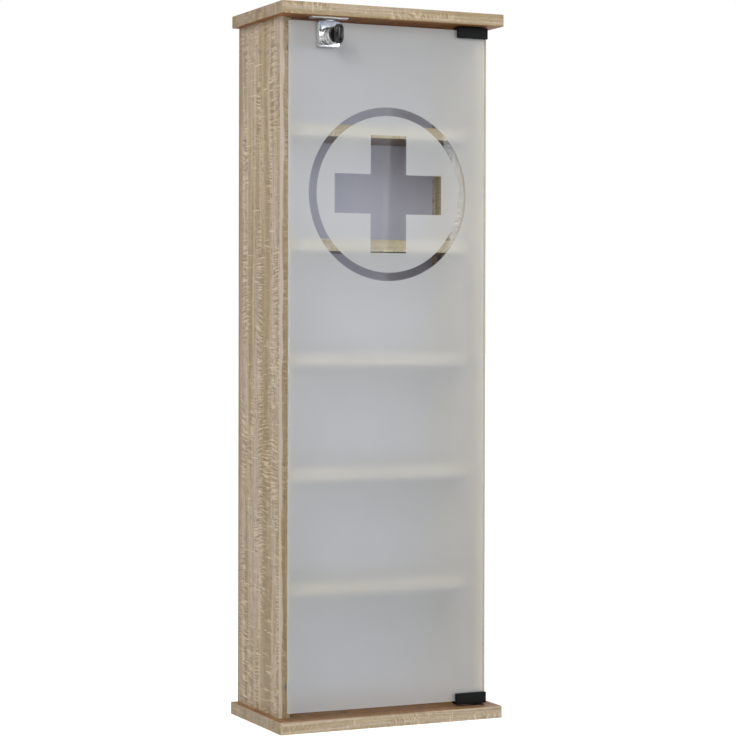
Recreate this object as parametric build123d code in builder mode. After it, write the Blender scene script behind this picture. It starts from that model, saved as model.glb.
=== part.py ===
from build123d import *
import os
from math import hypot

# Wall-hung medicine cabinet with a frosted glass door and a cylinder lock.
#
# Millimetres. +Z is up, the front faces -Y, and +X is to the right seen from the front.
# The origin is the middle of the bottom board's underside, where the cabinet rests.

os.makedirs("parts", exist_ok=True)

# Carcass
WIDTH = 320.0            # top and bottom boards, side to side
DEPTH = 176.0            # top and bottom boards, front to back
HEIGHT = 940.0
BOARD = 16.0             # chipboard thickness
SIDE_OVERHANG = 10.0     # boards beyond the side panels
FRONT_OVERHANG = 31.0    # boards in front of the side panels
ARRIS = 0.4              # broken edges of the edge banding

# Back panel and the groove it slides in
BACK = 3.0
BACK_SETBACK = 10.0      # rear edge of the boards to the groove
GROOVE_DEPTH = 6.0
GROOVE_PLAY = 0.2        # groove wider than the back panel
GROOVE_FLOOR_PLAY = 0.5  # back panel short of the groove's floor

# Shelves: the lowest space is the tallest, the others are equal
SHELF_COUNT = 5
LOWEST_SPACE_HEIGHT = 154.0
SHELF_SETBACK = 23.0     # shelf front behind the side panels' front
SHELF_PLAY = 0.5         # at both ends and at the back

# Shelf pins: a bored peg with an angled seat under the shelf
PEG_R = 2.5
PEG_LENGTH = 9.0
PIN_BORE_DEPTH = 10.0
PIN_INSET = 26.0         # pins in from the shelf's front and rear edges
PEG_DROP = 6.5           # peg axis below the shelf
SEAT_WIDTH = 10.0
SEAT_LENGTH = 8.0
SEAT_HEIGHT = 11.0
SEAT_SHEET = 1.6

# Corner joints: a cam lock in front and a dowel behind it
JOINT_SPREAD = 45.0      # cam lock and dowel each side of the panel's middle
DOWEL_R = 4.0
DOWEL_LENGTH = 30.0
DOWEL_IN_BOARD = 12.0
CAM_R = 7.5
CAM_DEPTH = 12.5
CAM_FROM_END = 24.0
CAM_SLOT_WIDTH = 8.0
CAM_BOLT_R = 3.0
CAM_BOLT_IN_BOARD = 11.0
CAM_BOLT_HEAD_R = 3.5
CAM_BOLT_HEAD_LENGTH = 3.0
CAM_BOLT_BORE_R = 4.0    # in the side panel, where the bolt's head passes
SEAT_PLAY = 0.05         # radial play of a fixed piece in its bore
BORE_SPARE = 0.5         # bore deeper than the piece in it

# Wall hangers: keyhole plates let into the rear edges of the side panels
HANGER_WIDTH = 12.0
HANGER_HEIGHT = 50.0
HANGER_SHEET = 1.5
HANGER_DROP = 60.0       # plate's middle below the top board
KEYHOLE_R = 4.5
KEYHOLE_SLOT_R = 2.5
KEYHOLE_RISE = 12.0      # keyhole's entry to the top of its slot, centre to centre
POCKET_R = 5.0
POCKET_DEPTH = 8.5
HANGER_SCREW_SPREAD = 18.5

# Wood screws, countersunk
SCREW_R = 1.5
SCREW_HEAD_R = 2.9
SCREW_LENGTH = 13.0

# Glass door
GLASS = 5.0
GLASS_GAP = 6.0          # side panels' front to the back of the glass
DOOR_REVEAL = 9.0        # side panel's outer face to the edge of the glass
DOOR_GAP_TOP = 5.5
DOOR_GAP_BOTTOM = 7.0
GLASS_CORNER = 1.5
GLASS_ARRIS = 0.5

# Clear sign left in the frosting
FROST_DEPTH = 0.15
FROST_MARGIN = 2.0       # polished rim left along the edges of the glass
SIGN_DROP = 221.5        # centre below the top edge of the glass
RING_R = 114.0
RING_BAND = 11.0
CROSS_SPAN = 154.5
CROSS_ARM = 51.5

# Glass clamps of the pivot hinges
PIVOT_INSET = 3.5        # pivot axis in from the edge of the glass
CLAMP_LENGTH = 41.0      # clamp along the top or bottom edge of the glass
CLAMP_BITE = 10.5        # clamp down over the glass
CLAMP_BRIDGE = 3.5
CLAMP_FRONT = 4.5
CLAMP_REAR = 3.5
CLAMP_END_PLAY = 0.3
CLAMP_EDGE_R = 1.5
LINER = 0.5
PAD = 1.0
GRUB_R = 2.0
GRUB_SOCKET_R = 1.15
GRUB_SOCKET = 1.8
GRUB_SPREAD = 20.0       # between the two grub screws of a clamp
PIVOT_R = 2.5
PIVOT_IN_BOARD = 7.5
BUSH_R = 4.5
BUSH_LENGTH = 9.0
BUSH_FLANGE_R = 6.5
BUSH_FLANGE = 1.0
RUNNING_PLAY = 0.05      # radial play of what turns
WASHER_R = 4.5
THRUST_PLAY = 0.1

# Bumpers on the left side panel's front edge
BUMPER_R = 3.5
BUMPER_INSET = 40.0      # from the panel's ends
BUMPER_GAP = 0.3
BUMPER_BEVEL = 1.2

# Lock case, a U clamped over the top edge of the glass
LOCK_INSET = 51.0        # lock axis in from the left edge of the glass
LOCK_DROP = 20.0         # lock axis below the top edge of the glass
CASE_WIDTH = 30.0
CASE_HEIGHT = 33.5
CASE_DEPTH = 10.0
CASE_CORNER = 2.0
CASE_EDGE = 0.8
NECK_WIDTH = 16.5
NECK_BRIDGE = 1.7
JAW_WIDTH = 24.0
JAW_HEIGHT = 22.0
COVER = 1.0
COVER_WIDTH = 22.0
COVER_LEDGE = 1.8        # cover beyond the ends of the channel
LOCK_GRUB_SPREAD = 12.0
LOCK_GRUB_DROP = 12.0    # grub screws below the top edge of the glass

# Bolt and crank
BOLT_WIDTH = 10.0
BOLT_BODY_WIDTH = 16.0
BOLT_SHEET = 3.0
BOLT_PLAY = 0.2
BOLT_NOSE_GAP = 0.5      # nose below the strike plate when unlocked
BOLT_TAIL = 8.5          # bolt's lower end below the lock axis
BOLT_SHOULDER = 6.0      # wide part's upper end above the lock axis
BOLT_THROW = 6.0
CRANK_PIN_R = 1.5
CRANK_SLOT_PLAY = 0.25

# Cylinder and plug
CYLINDER_LENGTH = 20.5
CYLINDER_R = 10.0
REAR_RING_R = 10.5
REAR_RING = 4.0
CYLINDER_GROOVE = 1.2
CYLINDER_GROOVE_DEPTH = 0.8
FRONT_RING = 2.4
SPIGOT_R = 7.5
SPIGOT = 3.5             # spigot through the case's front wall, also that wall's thickness
PLUG_R = 6.0
CAP_R = 8.7
CAP = 1.6
CAP_RECESS = 1.0
CAP_PLAY = 0.2
CLIP = 0.8
CLIP_R = 7.6
CLIP_GROOVE_DEPTH = 0.9
CLIP_POCKET_R = 8.2
WAFER_COUNT = 5
WAFER_PITCH = 2.5
WAFER = 1.0
WAFER_WIDTH = 5.4
WAFER_HEIGHT = 10.6
WAFER_CHANNEL_WIDTH = 6.2
WAFER_CHANNEL_DEPTH = 1.6
WAFER_START_DEPTH = 4.0  # first wafer behind the cap

# Key
BLADE_SHEET = 2.0
BLADE_HEIGHT = 8.0
BLADE_LENGTH = 18.5
BLADE_IN_HEAD = 8.0
BLADE_PLAY = 0.15
BITTING = (1.0, 2.0, 1.4, 0.6, 1.8)
BOW_HEIGHT = 25.4
BOW_LENGTH = 17.0
BOW_THICKNESS = 5.0
BOW_CORNER = 8.2
BOW_EDGE = 1.2
BOW_GAP = 0.6            # head in front of the plug's cap
BOW_HOLE_R = 2.0
BOW_HOLE_INSET = 6.0
BOW_RIM = 3.0            # outline to the recess in each face
BOW_RECESS = 0.5

# Strike plate
STRIKE_WIDTH = 52.0
STRIKE_DEPTH = 14.0
STRIKE_SHEET = 2.0
STRIKE_OFFSET = 2.0      # plate's middle to the right of the bolt
STRIKE_FRONT = 6.8       # plate in front of the bolt's middle plane, to its front edge
STRIKE_CORNER = 2.0
STRIKE_SCREW_SPREAD = 19.0
STRIKE_SLOT_PLAY = 0.9
MORTISE_SPARE = 1.0

# Places worked out from the sizes above
side_outer = WIDTH / 2 - SIDE_OVERHANG
side_inner = side_outer - BOARD
side_middle = side_outer - BOARD / 2
board_front = -DEPTH / 2
panel_front = board_front + FRONT_OVERHANG
panel_rear = DEPTH / 2
panel_middle = (panel_front + panel_rear) / 2
floor_z = BOARD
ceiling_z = HEIGHT - BOARD
back_rear = panel_rear - BACK_SETBACK - GROOVE_PLAY / 2
back_front = back_rear - BACK
shelf_front = panel_front + SHELF_SETBACK
shelf_rear = back_front - SHELF_PLAY
equal_space = (ceiling_z - floor_z - LOWEST_SPACE_HEIGHT - SHELF_COUNT * BOARD) / SHELF_COUNT
shelf_undersides = [
    floor_z + LOWEST_SPACE_HEIGHT + n * (equal_space + BOARD) for n in range(SHELF_COUNT)
]
pin_rows = (shelf_front + PIN_INSET, shelf_rear - PIN_INSET)
pin_places = [(y, z - PEG_DROP) for z in shelf_undersides for y in pin_rows]
cam_y = panel_middle - JOINT_SPREAD
dowel_y = panel_middle + JOINT_SPREAD
hanger_z = ceiling_z - HANGER_DROP
keyhole_z = hanger_z - KEYHOLE_RISE / 2
hanger_screws_z = (hanger_z - HANGER_SCREW_SPREAD, hanger_z + HANGER_SCREW_SPREAD)
board_ends = ((floor_z, -1), (ceiling_z, 1))     # inner face of each board, and its outward turn

glass_rear = panel_front - GLASS_GAP
glass_front = glass_rear - GLASS
glass_middle = (glass_front + glass_rear) / 2
glass_edge = side_outer - DOOR_REVEAL
glass_top = ceiling_z - DOOR_GAP_TOP
glass_bottom = floor_z + DOOR_GAP_BOTTOM
pivot_x = glass_edge - PIVOT_INSET

clamp_front = glass_front - LINER - CLAMP_FRONT
clamp_rear = glass_rear + PAD + CLAMP_REAR
heel_r = clamp_rear - glass_middle
clamp_end = pivot_x + heel_r
clamp_start = glass_edge - CLAMP_LENGTH
clamp_reach = LINER + CLAMP_BRIDGE       # clamp beyond the edge of the glass

lock_x = -glass_edge + LOCK_INSET
lock_z = glass_top - LOCK_DROP
case_rear = glass_front - LINER
case_front = case_rear - CASE_DEPTH
case_bottom = glass_top - CASE_HEIGHT
neck_top = glass_top + LINER + NECK_BRIDGE
jaw_rear = glass_rear + PAD + CLAMP_REAR
bolt_rear = case_rear - COVER - BOLT_PLAY
bolt_front = bolt_rear - BOLT_SHEET
bolt_middle = (bolt_front + bolt_rear) / 2
channel_front = bolt_front - BOLT_PLAY
wall_rear = case_front + SPIGOT
bolt_nose = ceiling_z - STRIKE_SHEET - BOLT_NOSE_GAP
crank_offset = BOLT_THROW / 2            # pin beside and below the lock axis at rest
crank_r = hypot(crank_offset, crank_offset)
cylinder_front = case_front - CYLINDER_LENGTH
cap_rear = cylinder_front + CAP_RECESS - CAP_PLAY
cap_front = cap_rear - CAP
keyway_height = BLADE_HEIGHT + 2 * BLADE_PLAY
keyway_width = BLADE_SHEET + 2 * BLADE_PLAY
blade_tip = cap_front + BLADE_LENGTH
bow_rear = cap_front - BOW_GAP
bow_middle = bow_rear - BOW_LENGTH / 2
wafer_places = [cap_rear + WAFER_START_DEPTH + n * WAFER_PITCH for n in range(WAFER_COUNT)]

strike_x = lock_x + STRIKE_OFFSET
strike_front = bolt_middle - STRIKE_FRONT
strike_middle = strike_front + STRIKE_DEPTH / 2
strike_slot_width = BOLT_WIDTH + 2 * STRIKE_SLOT_PLAY
strike_slot_depth = BOLT_SHEET + 2 * STRIKE_SLOT_PLAY
strike_screws_x = (strike_x - STRIKE_SCREW_SPREAD, strike_x + STRIKE_SCREW_SPREAD)

# Turns that point a hole's or a screw's open end along an axis
TO_REAR = (-90, 0, 0)
TO_FLOOR = (180, 0, 0)


def front_plane(y):
    """A drawing plane seen from the front, at the depth y."""
    return Plane.XZ.offset(-y)


def inward(side):
    """The turn that points a bore out of the side panel on that side, into the cabinet."""
    return (0, -90 * side, 0)


def save(piece, name):
    """Name a finished piece and write its file."""
    piece.part.label = name
    export_step(piece.part, f"parts/{name}.step")


# Side panels


def side_panel(side):
    """A side panel with its groove and bores; side is -1 for the left and 1 for the right."""
    with BuildPart() as panel:
        with BuildSketch(Plane.XY.offset(floor_z)):
            with Locations((side * side_middle, panel_middle)):
                Rectangle(BOARD, panel_rear - panel_front)
        extrude(amount=ceiling_z - floor_z)
        chamfer(panel.edges().filter_by(Axis.Z), ARRIS)

        # Groove for the back panel, along the whole height
        with BuildSketch(Plane.XY.offset(floor_z)):
            with Locations((side * side_inner, (back_front + back_rear) / 2)):
                Rectangle(2 * GROOVE_DEPTH, BACK + GROOVE_PLAY)
        extrude(amount=ceiling_z - floor_z, mode=Mode.SUBTRACT)

        # Bores for the shelf pins
        with Locations(*[Location((side * side_inner, y, z), inward(side)) for y, z in pin_places]):
            Hole(PEG_R + SEAT_PLAY, PIN_BORE_DEPTH)

        # Cam locks from the inside, cam bolts and dowels from both ends
        for end_z, up in board_ends:
            with Locations(Location((side * side_inner, cam_y, end_z - up * CAM_FROM_END), inward(side))):
                Hole(CAM_R + SEAT_PLAY, CAM_DEPTH + SEAT_PLAY)
            with Locations((side * side_middle, cam_y, end_z)):
                Hole(CAM_BOLT_BORE_R, CAM_FROM_END)
            with Locations((side * side_middle, dowel_y, end_z)):
                Hole(DOWEL_R + SEAT_PLAY, DOWEL_LENGTH - DOWEL_IN_BOARD + BORE_SPARE)

        # Seat and pocket of the wall hanger in the rear edge
        with BuildSketch(front_plane(panel_rear)):
            with Locations((side * side_middle, hanger_z)):
                Rectangle(HANGER_WIDTH + 2 * SEAT_PLAY, HANGER_HEIGHT + 2 * SEAT_PLAY)
        extrude(amount=HANGER_SHEET, mode=Mode.SUBTRACT)
        with BuildSketch(front_plane(panel_rear)):
            with Locations((side * side_middle, hanger_z)):
                SlotCenterToCenter(KEYHOLE_RISE, 2 * POCKET_R, rotation=90)
        extrude(amount=POCKET_DEPTH, mode=Mode.SUBTRACT)
        with Locations(*[Location((side * side_middle, panel_rear, z), TO_REAR) for z in hanger_screws_z]):
            Hole(SCREW_R + SEAT_PLAY, SCREW_LENGTH + BORE_SPARE)
    return panel


side_panel_left = side_panel(-1)
save(side_panel_left, "side_panel_left")
side_panel_right = side_panel(1)
save(side_panel_right, "side_panel_right")


# Top and bottom boards


def end_board(face_z, up):
    """A board whose inner face is at face_z; up is 1 for the top one and -1 for the bottom one."""
    with BuildPart() as board:
        with BuildSketch(Plane.XY.offset(face_z)):
            Rectangle(WIDTH, DEPTH)
        extrude(amount=up * BOARD)
        chamfer(board.edges(), ARRIS)

        # Groove for the back panel, stopped inside the side panels
        with BuildSketch(Plane.XY.offset(face_z)):
            with Locations((0, (back_front + back_rear) / 2)):
                Rectangle(2 * (side_inner + GROOVE_DEPTH), BACK + GROOVE_PLAY)
        extrude(amount=up * GROOVE_DEPTH, mode=Mode.SUBTRACT)

        # Corner joints and the bush of the door's pivot
        for side in (-1, 1):
            with Locations((side * side_middle, cam_y, face_z)):
                Hole(CAM_BOLT_R + SEAT_PLAY, CAM_BOLT_IN_BOARD + BORE_SPARE)
            with Locations((side * side_middle, dowel_y, face_z)):
                Hole(DOWEL_R + SEAT_PLAY, DOWEL_IN_BOARD + BORE_SPARE)
        with Locations((pivot_x, glass_middle, face_z)):
            Hole(BUSH_R + SEAT_PLAY, BUSH_LENGTH + BORE_SPARE)
    return board


with BuildPart() as top_board:
    add(end_board(ceiling_z, 1))
    # Mortise for the bolt's nose, and the strike plate's screws
    with BuildSketch(Plane.XY.offset(ceiling_z)):
        with Locations((lock_x, bolt_middle)):
            Rectangle(strike_slot_width, strike_slot_depth)
    extrude(amount=BOLT_THROW - BOLT_NOSE_GAP - STRIKE_SHEET + MORTISE_SPARE, mode=Mode.SUBTRACT)
    with Locations(*[(x, strike_middle, ceiling_z) for x in strike_screws_x]):
        Hole(SCREW_R + SEAT_PLAY, SCREW_LENGTH - STRIKE_SHEET + BORE_SPARE)
save(top_board, "top_board")

bottom_board = end_board(floor_z, -1)
save(bottom_board, "bottom_board")

# Back panel
with BuildPart() as back_panel:
    with BuildSketch(front_plane(back_rear)):
        with Locations((0, (floor_z + ceiling_z) / 2)):
            Rectangle(
                2 * (side_inner + GROOVE_DEPTH - GROOVE_FLOOR_PLAY),
                ceiling_z - floor_z + 2 * (GROOVE_DEPTH - GROOVE_FLOOR_PLAY),
            )
    extrude(amount=BACK)
save(back_panel, "back_panel")

# Shelves, counted from the bottom
for number, underside in enumerate(shelf_undersides, start=1):
    with BuildPart() as shelf:
        with BuildSketch(Plane.XY.offset(underside)):
            with Locations((0, (shelf_front + shelf_rear) / 2)):
                Rectangle(2 * (side_inner - SHELF_PLAY), shelf_rear - shelf_front)
        extrude(amount=BOARD)
        chamfer(shelf.edges().group_by(Axis.Y)[0], ARRIS)
    save(shelf, f"shelf_{number}")

# Shelf pins: the peg points into the right side panel, its seat faces the cabinet
with BuildPart() as shelf_pin:
    with BuildSketch(Plane.XZ.offset(-SEAT_WIDTH / 2)):
        with BuildLine():
            Polyline(
                (0, 0),
                (-SEAT_LENGTH, 0),
                (-SEAT_LENGTH, -SEAT_SHEET),
                (-SEAT_SHEET, -SEAT_SHEET),
                (-SEAT_SHEET, -SEAT_HEIGHT),
                (0, -SEAT_HEIGHT),
                close=True,
            )
        make_face()
    extrude(amount=SEAT_WIDTH)
    with BuildSketch(Plane.YZ):
        with Locations((0, -PEG_DROP)):
            Circle(PEG_R)
    extrude(amount=PEG_LENGTH)

with BuildPart() as shelf_pins:
    for underside in shelf_undersides:
        with Locations(*[Location((side_inner, y, underside)) for y in pin_rows]):
            add(shelf_pin)
        with Locations(*[Location((-side_inner, y, underside), (0, 0, 180)) for y in pin_rows]):
            add(shelf_pin)
save(shelf_pins, "shelf_pins")

# Corner joints

with BuildPart() as dowels:
    with BuildSketch(Plane.XY.offset(floor_z - DOWEL_IN_BOARD)):
        with Locations((-side_middle, dowel_y), (side_middle, dowel_y)):
            Circle(DOWEL_R)
    extrude(amount=DOWEL_LENGTH)
    with BuildSketch(Plane.XY.offset(ceiling_z + DOWEL_IN_BOARD)):
        with Locations((-side_middle, dowel_y), (side_middle, dowel_y)):
            Circle(DOWEL_R)
    extrude(amount=-DOWEL_LENGTH)
save(dowels, "dowels")

# Cam bolt: it goes up into its board from the origin, its head hangs in the cam
with BuildPart() as cam_bolt:
    with BuildSketch(Plane.XZ):
        with BuildLine():
            Polyline(
                (0, CAM_BOLT_IN_BOARD),
                (CAM_BOLT_R, CAM_BOLT_IN_BOARD),
                (CAM_BOLT_R, CAM_BOLT_HEAD_LENGTH / 2 - CAM_FROM_END),
                (CAM_BOLT_HEAD_R, CAM_BOLT_HEAD_LENGTH / 2 - CAM_FROM_END),
                (CAM_BOLT_HEAD_R, -CAM_BOLT_HEAD_LENGTH / 2 - CAM_FROM_END),
                (0, -CAM_BOLT_HEAD_LENGTH / 2 - CAM_FROM_END),
                close=True,
            )
        make_face()
    revolve(axis=Axis.Z)

# Cam lock: its face is at the origin and points along +Z, its slot opens towards +Y
cam_slot_floor = CAM_BOLT_HEAD_LENGTH / 2 + BORE_SPARE
with BuildPart() as cam_lock:
    Cylinder(CAM_R, CAM_DEPTH, align=(Align.CENTER, Align.CENTER, Align.MAX))
    with BuildSketch(Plane.XZ.offset(cam_slot_floor)):
        with Locations((0, -BOARD / 2)):
            Rectangle(CAM_SLOT_WIDTH, CAM_SLOT_WIDTH)
    extrude(amount=-(cam_slot_floor + CAM_R), mode=Mode.SUBTRACT)

with BuildPart() as cam_bolts:
    for side in (-1, 1):
        with Locations(Location((side * side_middle, cam_y, ceiling_z))):
            add(cam_bolt)
        with Locations(Location((side * side_middle, cam_y, floor_z), TO_FLOOR)):
            add(cam_bolt)
save(cam_bolts, "cam_bolts")

cam_seats = [
    Plane(
        (side * side_inner, cam_y, end_z - up * CAM_FROM_END),
        x_dir=(0, -up * side, 0),
        z_dir=(-side, 0, 0),
    )
    for side in (-1, 1)
    for end_z, up in board_ends
]
with BuildPart() as cam_locks:
    with Locations(*cam_seats):
        add(cam_lock)
save(cam_locks, "cam_locks")

# Countersunk wood screw: the middle of its head is the origin, it points down
with BuildPart() as wood_screw:
    with BuildSketch(Plane.XZ):
        with BuildLine():
            Polyline(
                (0, 0),
                (SCREW_HEAD_R, 0),
                (SCREW_R, SCREW_R - SCREW_HEAD_R),
                (SCREW_R, 2 * SCREW_R - SCREW_LENGTH),
                (0, -SCREW_LENGTH),
                close=True,
            )
        make_face()
    revolve(axis=Axis.Z)

# Wall hangers
hanger_screw_seats = [
    Location((side * side_middle, panel_rear, z), TO_REAR) for side in (-1, 1) for z in hanger_screws_z
]
with BuildPart() as hanger_plates:
    with BuildSketch(front_plane(panel_rear)):
        with Locations((-side_middle, hanger_z), (side_middle, hanger_z)):
            Rectangle(HANGER_WIDTH, HANGER_HEIGHT)
            SlotCenterToCenter(KEYHOLE_RISE, 2 * KEYHOLE_SLOT_R, rotation=90, mode=Mode.SUBTRACT)
        with Locations((-side_middle, keyhole_z), (side_middle, keyhole_z)):
            Circle(KEYHOLE_R, mode=Mode.SUBTRACT)
    extrude(amount=HANGER_SHEET)
    with Locations(*hanger_screw_seats):
        CounterSinkHole(SCREW_R + SEAT_PLAY, SCREW_HEAD_R + SEAT_PLAY, counter_sink_angle=90)
save(hanger_plates, "hanger_plates")

with BuildPart() as hanger_screws:
    with Locations(*hanger_screw_seats):
        add(wood_screw)
save(hanger_screws, "hanger_screws")

# Bumpers on the left side panel's front edge
with BuildPart() as door_bumpers:
    with BuildSketch(front_plane(panel_front)):
        bumper_x = -side_inner - BUMPER_R - ARRIS
        with Locations((bumper_x, floor_z + BUMPER_INSET), (bumper_x, ceiling_z - BUMPER_INSET)):
            Circle(BUMPER_R)
    extrude(amount=GLASS_GAP - BUMPER_GAP)
    chamfer(door_bumpers.edges().group_by(Axis.Y)[0], BUMPER_BEVEL)
save(door_bumpers, "door_bumpers")

# Glass door: the frosting lies in its front face and leaves the sign and the rim clear
with BuildPart() as door_glass:
    glass_centre = (0, (glass_bottom + glass_top) / 2)
    with BuildSketch(front_plane(glass_rear)):
        with Locations(glass_centre):
            RectangleRounded(2 * glass_edge, glass_top - glass_bottom, GLASS_CORNER)
    extrude(amount=GLASS)
    chamfer(door_glass.faces().filter_by(Axis.Y).edges(), GLASS_ARRIS)
    with BuildSketch(front_plane(glass_front + FROST_DEPTH)):
        with Locations(glass_centre):
            Rectangle(2 * (glass_edge - FROST_MARGIN), glass_top - glass_bottom - 2 * FROST_MARGIN)
        with Locations((0, glass_top - SIGN_DROP)):
            Circle(RING_R, mode=Mode.SUBTRACT)
            Circle(RING_R - RING_BAND)
            Rectangle(CROSS_SPAN, CROSS_ARM, mode=Mode.SUBTRACT)
            Rectangle(CROSS_ARM, CROSS_SPAN, mode=Mode.SUBTRACT)
    extrude(amount=FROST_DEPTH, mode=Mode.SUBTRACT)
save(door_glass, "door_glass")

# Pivot hinges


def glass_clamp(edge_z, up):
    """Clamp body on the edge of the glass at edge_z; up is 1 on the top edge and -1 on the bottom one."""
    with BuildPart() as clamp:
        # Block whose rear right corner is round about the pivot, so that it clears the side panel
        with BuildSketch(Plane.XY.offset(edge_z + up * clamp_reach)) as outline:
            with Locations(((clamp_start + clamp_end) / 2, (clamp_front + clamp_rear) / 2)):
                Rectangle(clamp_end - clamp_start, clamp_rear - clamp_front)
            fillet(outline.vertices().group_by(Axis.X)[-1].sort_by(Axis.Y)[-1], heel_r)
            fillet(outline.vertices().group_by(Axis.Y)[0], CLAMP_EDGE_R)
        extrude(amount=-up * (clamp_reach + CLAMP_BITE))
        chamfer(clamp.faces().filter_by(Axis.Z).edges(), ARRIS)

        # Mouth for the glass, its liner and its pad
        mouth_end = glass_edge + CLAMP_END_PLAY
        mouth_start = clamp_start - CLAMP_EDGE_R
        with BuildSketch(Plane.XY.offset(edge_z + up * LINER)):
            with Locations(((mouth_start + mouth_end) / 2, (glass_front - LINER + glass_rear + PAD) / 2)):
                Rectangle(mouth_end - mouth_start, GLASS + LINER + PAD)
        extrude(amount=-up * (LINER + CLAMP_BITE), mode=Mode.SUBTRACT)

        # Pivot pin and grub screws
        with Locations((pivot_x, glass_middle, edge_z + up * clamp_reach)):
            Hole(PIVOT_R + SEAT_PLAY, CLAMP_BRIDGE)
        with Locations(*grub_seats(edge_z, up)):
            Hole(GRUB_R + SEAT_PLAY, CLAMP_REAR)
    return clamp


def grub_seats(edge_z, up):
    """Where the grub screws of the clamp at edge_z end, in its rear face."""
    middle = (clamp_start + glass_edge) / 2 - GRUB_R
    places = (middle - GRUB_SPREAD / 2, middle + GRUB_SPREAD / 2)
    return [Location((x, clamp_rear, edge_z - up * CLAMP_BITE / 2), TO_REAR) for x in places]


# Edge of the glass and the direction out of it; then with the board's inner face between them
glass_ends = ((glass_bottom, -1), (glass_top, 1))
door_ends = ((glass_bottom, floor_z, -1), (glass_top, ceiling_z, 1))

upper_hinge_clamp = glass_clamp(glass_top, 1)
save(upper_hinge_clamp, "upper_hinge_clamp")
lower_hinge_clamp = glass_clamp(glass_bottom, -1)
save(lower_hinge_clamp, "lower_hinge_clamp")

# Liners: an angle of soft sheet between the glass and the clamp's front jaw and bridge
with BuildPart() as hinge_liners:
    for edge_z, up in glass_ends:
        with BuildSketch(Plane.YZ.offset(clamp_start)):
            with BuildLine():
                Polyline(
                    (glass_front - LINER, edge_z - up * CLAMP_BITE),
                    (glass_front - LINER, edge_z + up * LINER),
                    (glass_rear + PAD, edge_z + up * LINER),
                    (glass_rear + PAD, edge_z),
                    (glass_front, edge_z),
                    (glass_front, edge_z - up * CLAMP_BITE),
                    close=True,
                )
            make_face()
        extrude(amount=CLAMP_LENGTH)
save(hinge_liners, "hinge_liners")

with BuildPart() as hinge_pads:
    for edge_z, up in glass_ends:
        with BuildSketch(front_plane(glass_rear + PAD)):
            with Locations(((clamp_start + glass_edge) / 2, edge_z - up * (CLAMP_BITE + LINER) / 2)):
                Rectangle(CLAMP_LENGTH - 2 * PAD, CLAMP_BITE - LINER)
        extrude(amount=PAD)
save(hinge_pads, "hinge_pads")

# Grub screw: its socket end is the origin, it points down
with BuildPart() as grub_screw:
    Cylinder(GRUB_R, CLAMP_REAR, align=(Align.CENTER, Align.CENTER, Align.MAX))
    with BuildSketch(Plane.XY):
        RegularPolygon(GRUB_SOCKET_R, 6)
    extrude(amount=-GRUB_SOCKET, mode=Mode.SUBTRACT)

with BuildPart() as hinge_grub_screws:
    for edge_z, up in glass_ends:
        with Locations(*grub_seats(edge_z, up)):
            add(grub_screw)
save(hinge_grub_screws, "hinge_grub_screws")

with BuildPart() as pivot_pins:
    for edge_z, face_z, up in door_ends:
        with BuildSketch(Plane.XY.offset(edge_z + up * LINER)):
            with Locations((pivot_x, glass_middle)):
                Circle(PIVOT_R)
        extrude(amount=up * (abs(face_z - edge_z) - LINER + PIVOT_IN_BOARD))
    chamfer(pivot_pins.edges().group_by(Axis.Z)[0], PIVOT_R / 5)
    chamfer(pivot_pins.edges().group_by(Axis.Z)[-1], PIVOT_R / 5)
save(pivot_pins, "pivot_pins")

with BuildPart() as pivot_bushes:
    for edge_z, face_z, up in door_ends:
        with BuildSketch(Plane.XY.offset(face_z)):
            with Locations((pivot_x, glass_middle)):
                Circle(BUSH_R)
        extrude(amount=up * BUSH_LENGTH)
        with BuildSketch(Plane.XY.offset(face_z)):
            with Locations((pivot_x, glass_middle)):
                Circle(BUSH_FLANGE_R)
        extrude(amount=-up * BUSH_FLANGE)
        with BuildSketch(Plane.XY.offset(face_z - up * BUSH_FLANGE)):
            with Locations((pivot_x, glass_middle)):
                Circle(PIVOT_R + RUNNING_PLAY)
        extrude(amount=up * (BUSH_FLANGE + PIVOT_IN_BOARD + BORE_SPARE), mode=Mode.SUBTRACT)
save(pivot_bushes, "pivot_bushes")

# Washer that carries the door on the lower bush
with BuildPart() as thrust_washer:
    with BuildSketch(Plane.XY.offset(glass_bottom - clamp_reach)):
        with Locations((pivot_x, glass_middle)):
            Circle(WASHER_R)
            Circle(PIVOT_R + SEAT_PLAY, mode=Mode.SUBTRACT)
    extrude(amount=-(DOOR_GAP_BOTTOM - clamp_reach - BUSH_FLANGE - THRUST_PLAY))
save(thrust_washer, "thrust_washer")

# Strike plate under the top board
strike_screw_seats = [
    Location((x, strike_middle, ceiling_z - STRIKE_SHEET), TO_FLOOR) for x in strike_screws_x
]
with BuildPart() as strike_plate:
    with BuildSketch(Plane.XY.offset(ceiling_z - STRIKE_SHEET)):
        with Locations((strike_x, strike_middle)):
            RectangleRounded(STRIKE_WIDTH, STRIKE_DEPTH, STRIKE_CORNER)
        with Locations((lock_x, bolt_middle)):
            Rectangle(strike_slot_width, strike_slot_depth, mode=Mode.SUBTRACT)
    extrude(amount=STRIKE_SHEET)
    with Locations(*strike_screw_seats):
        CounterSinkHole(SCREW_R + SEAT_PLAY, SCREW_HEAD_R + SEAT_PLAY, counter_sink_angle=90)
save(strike_plate, "strike_plate")

with BuildPart() as strike_screws:
    with Locations(*strike_screw_seats):
        add(wood_screw)
save(strike_screws, "strike_screws")

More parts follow.
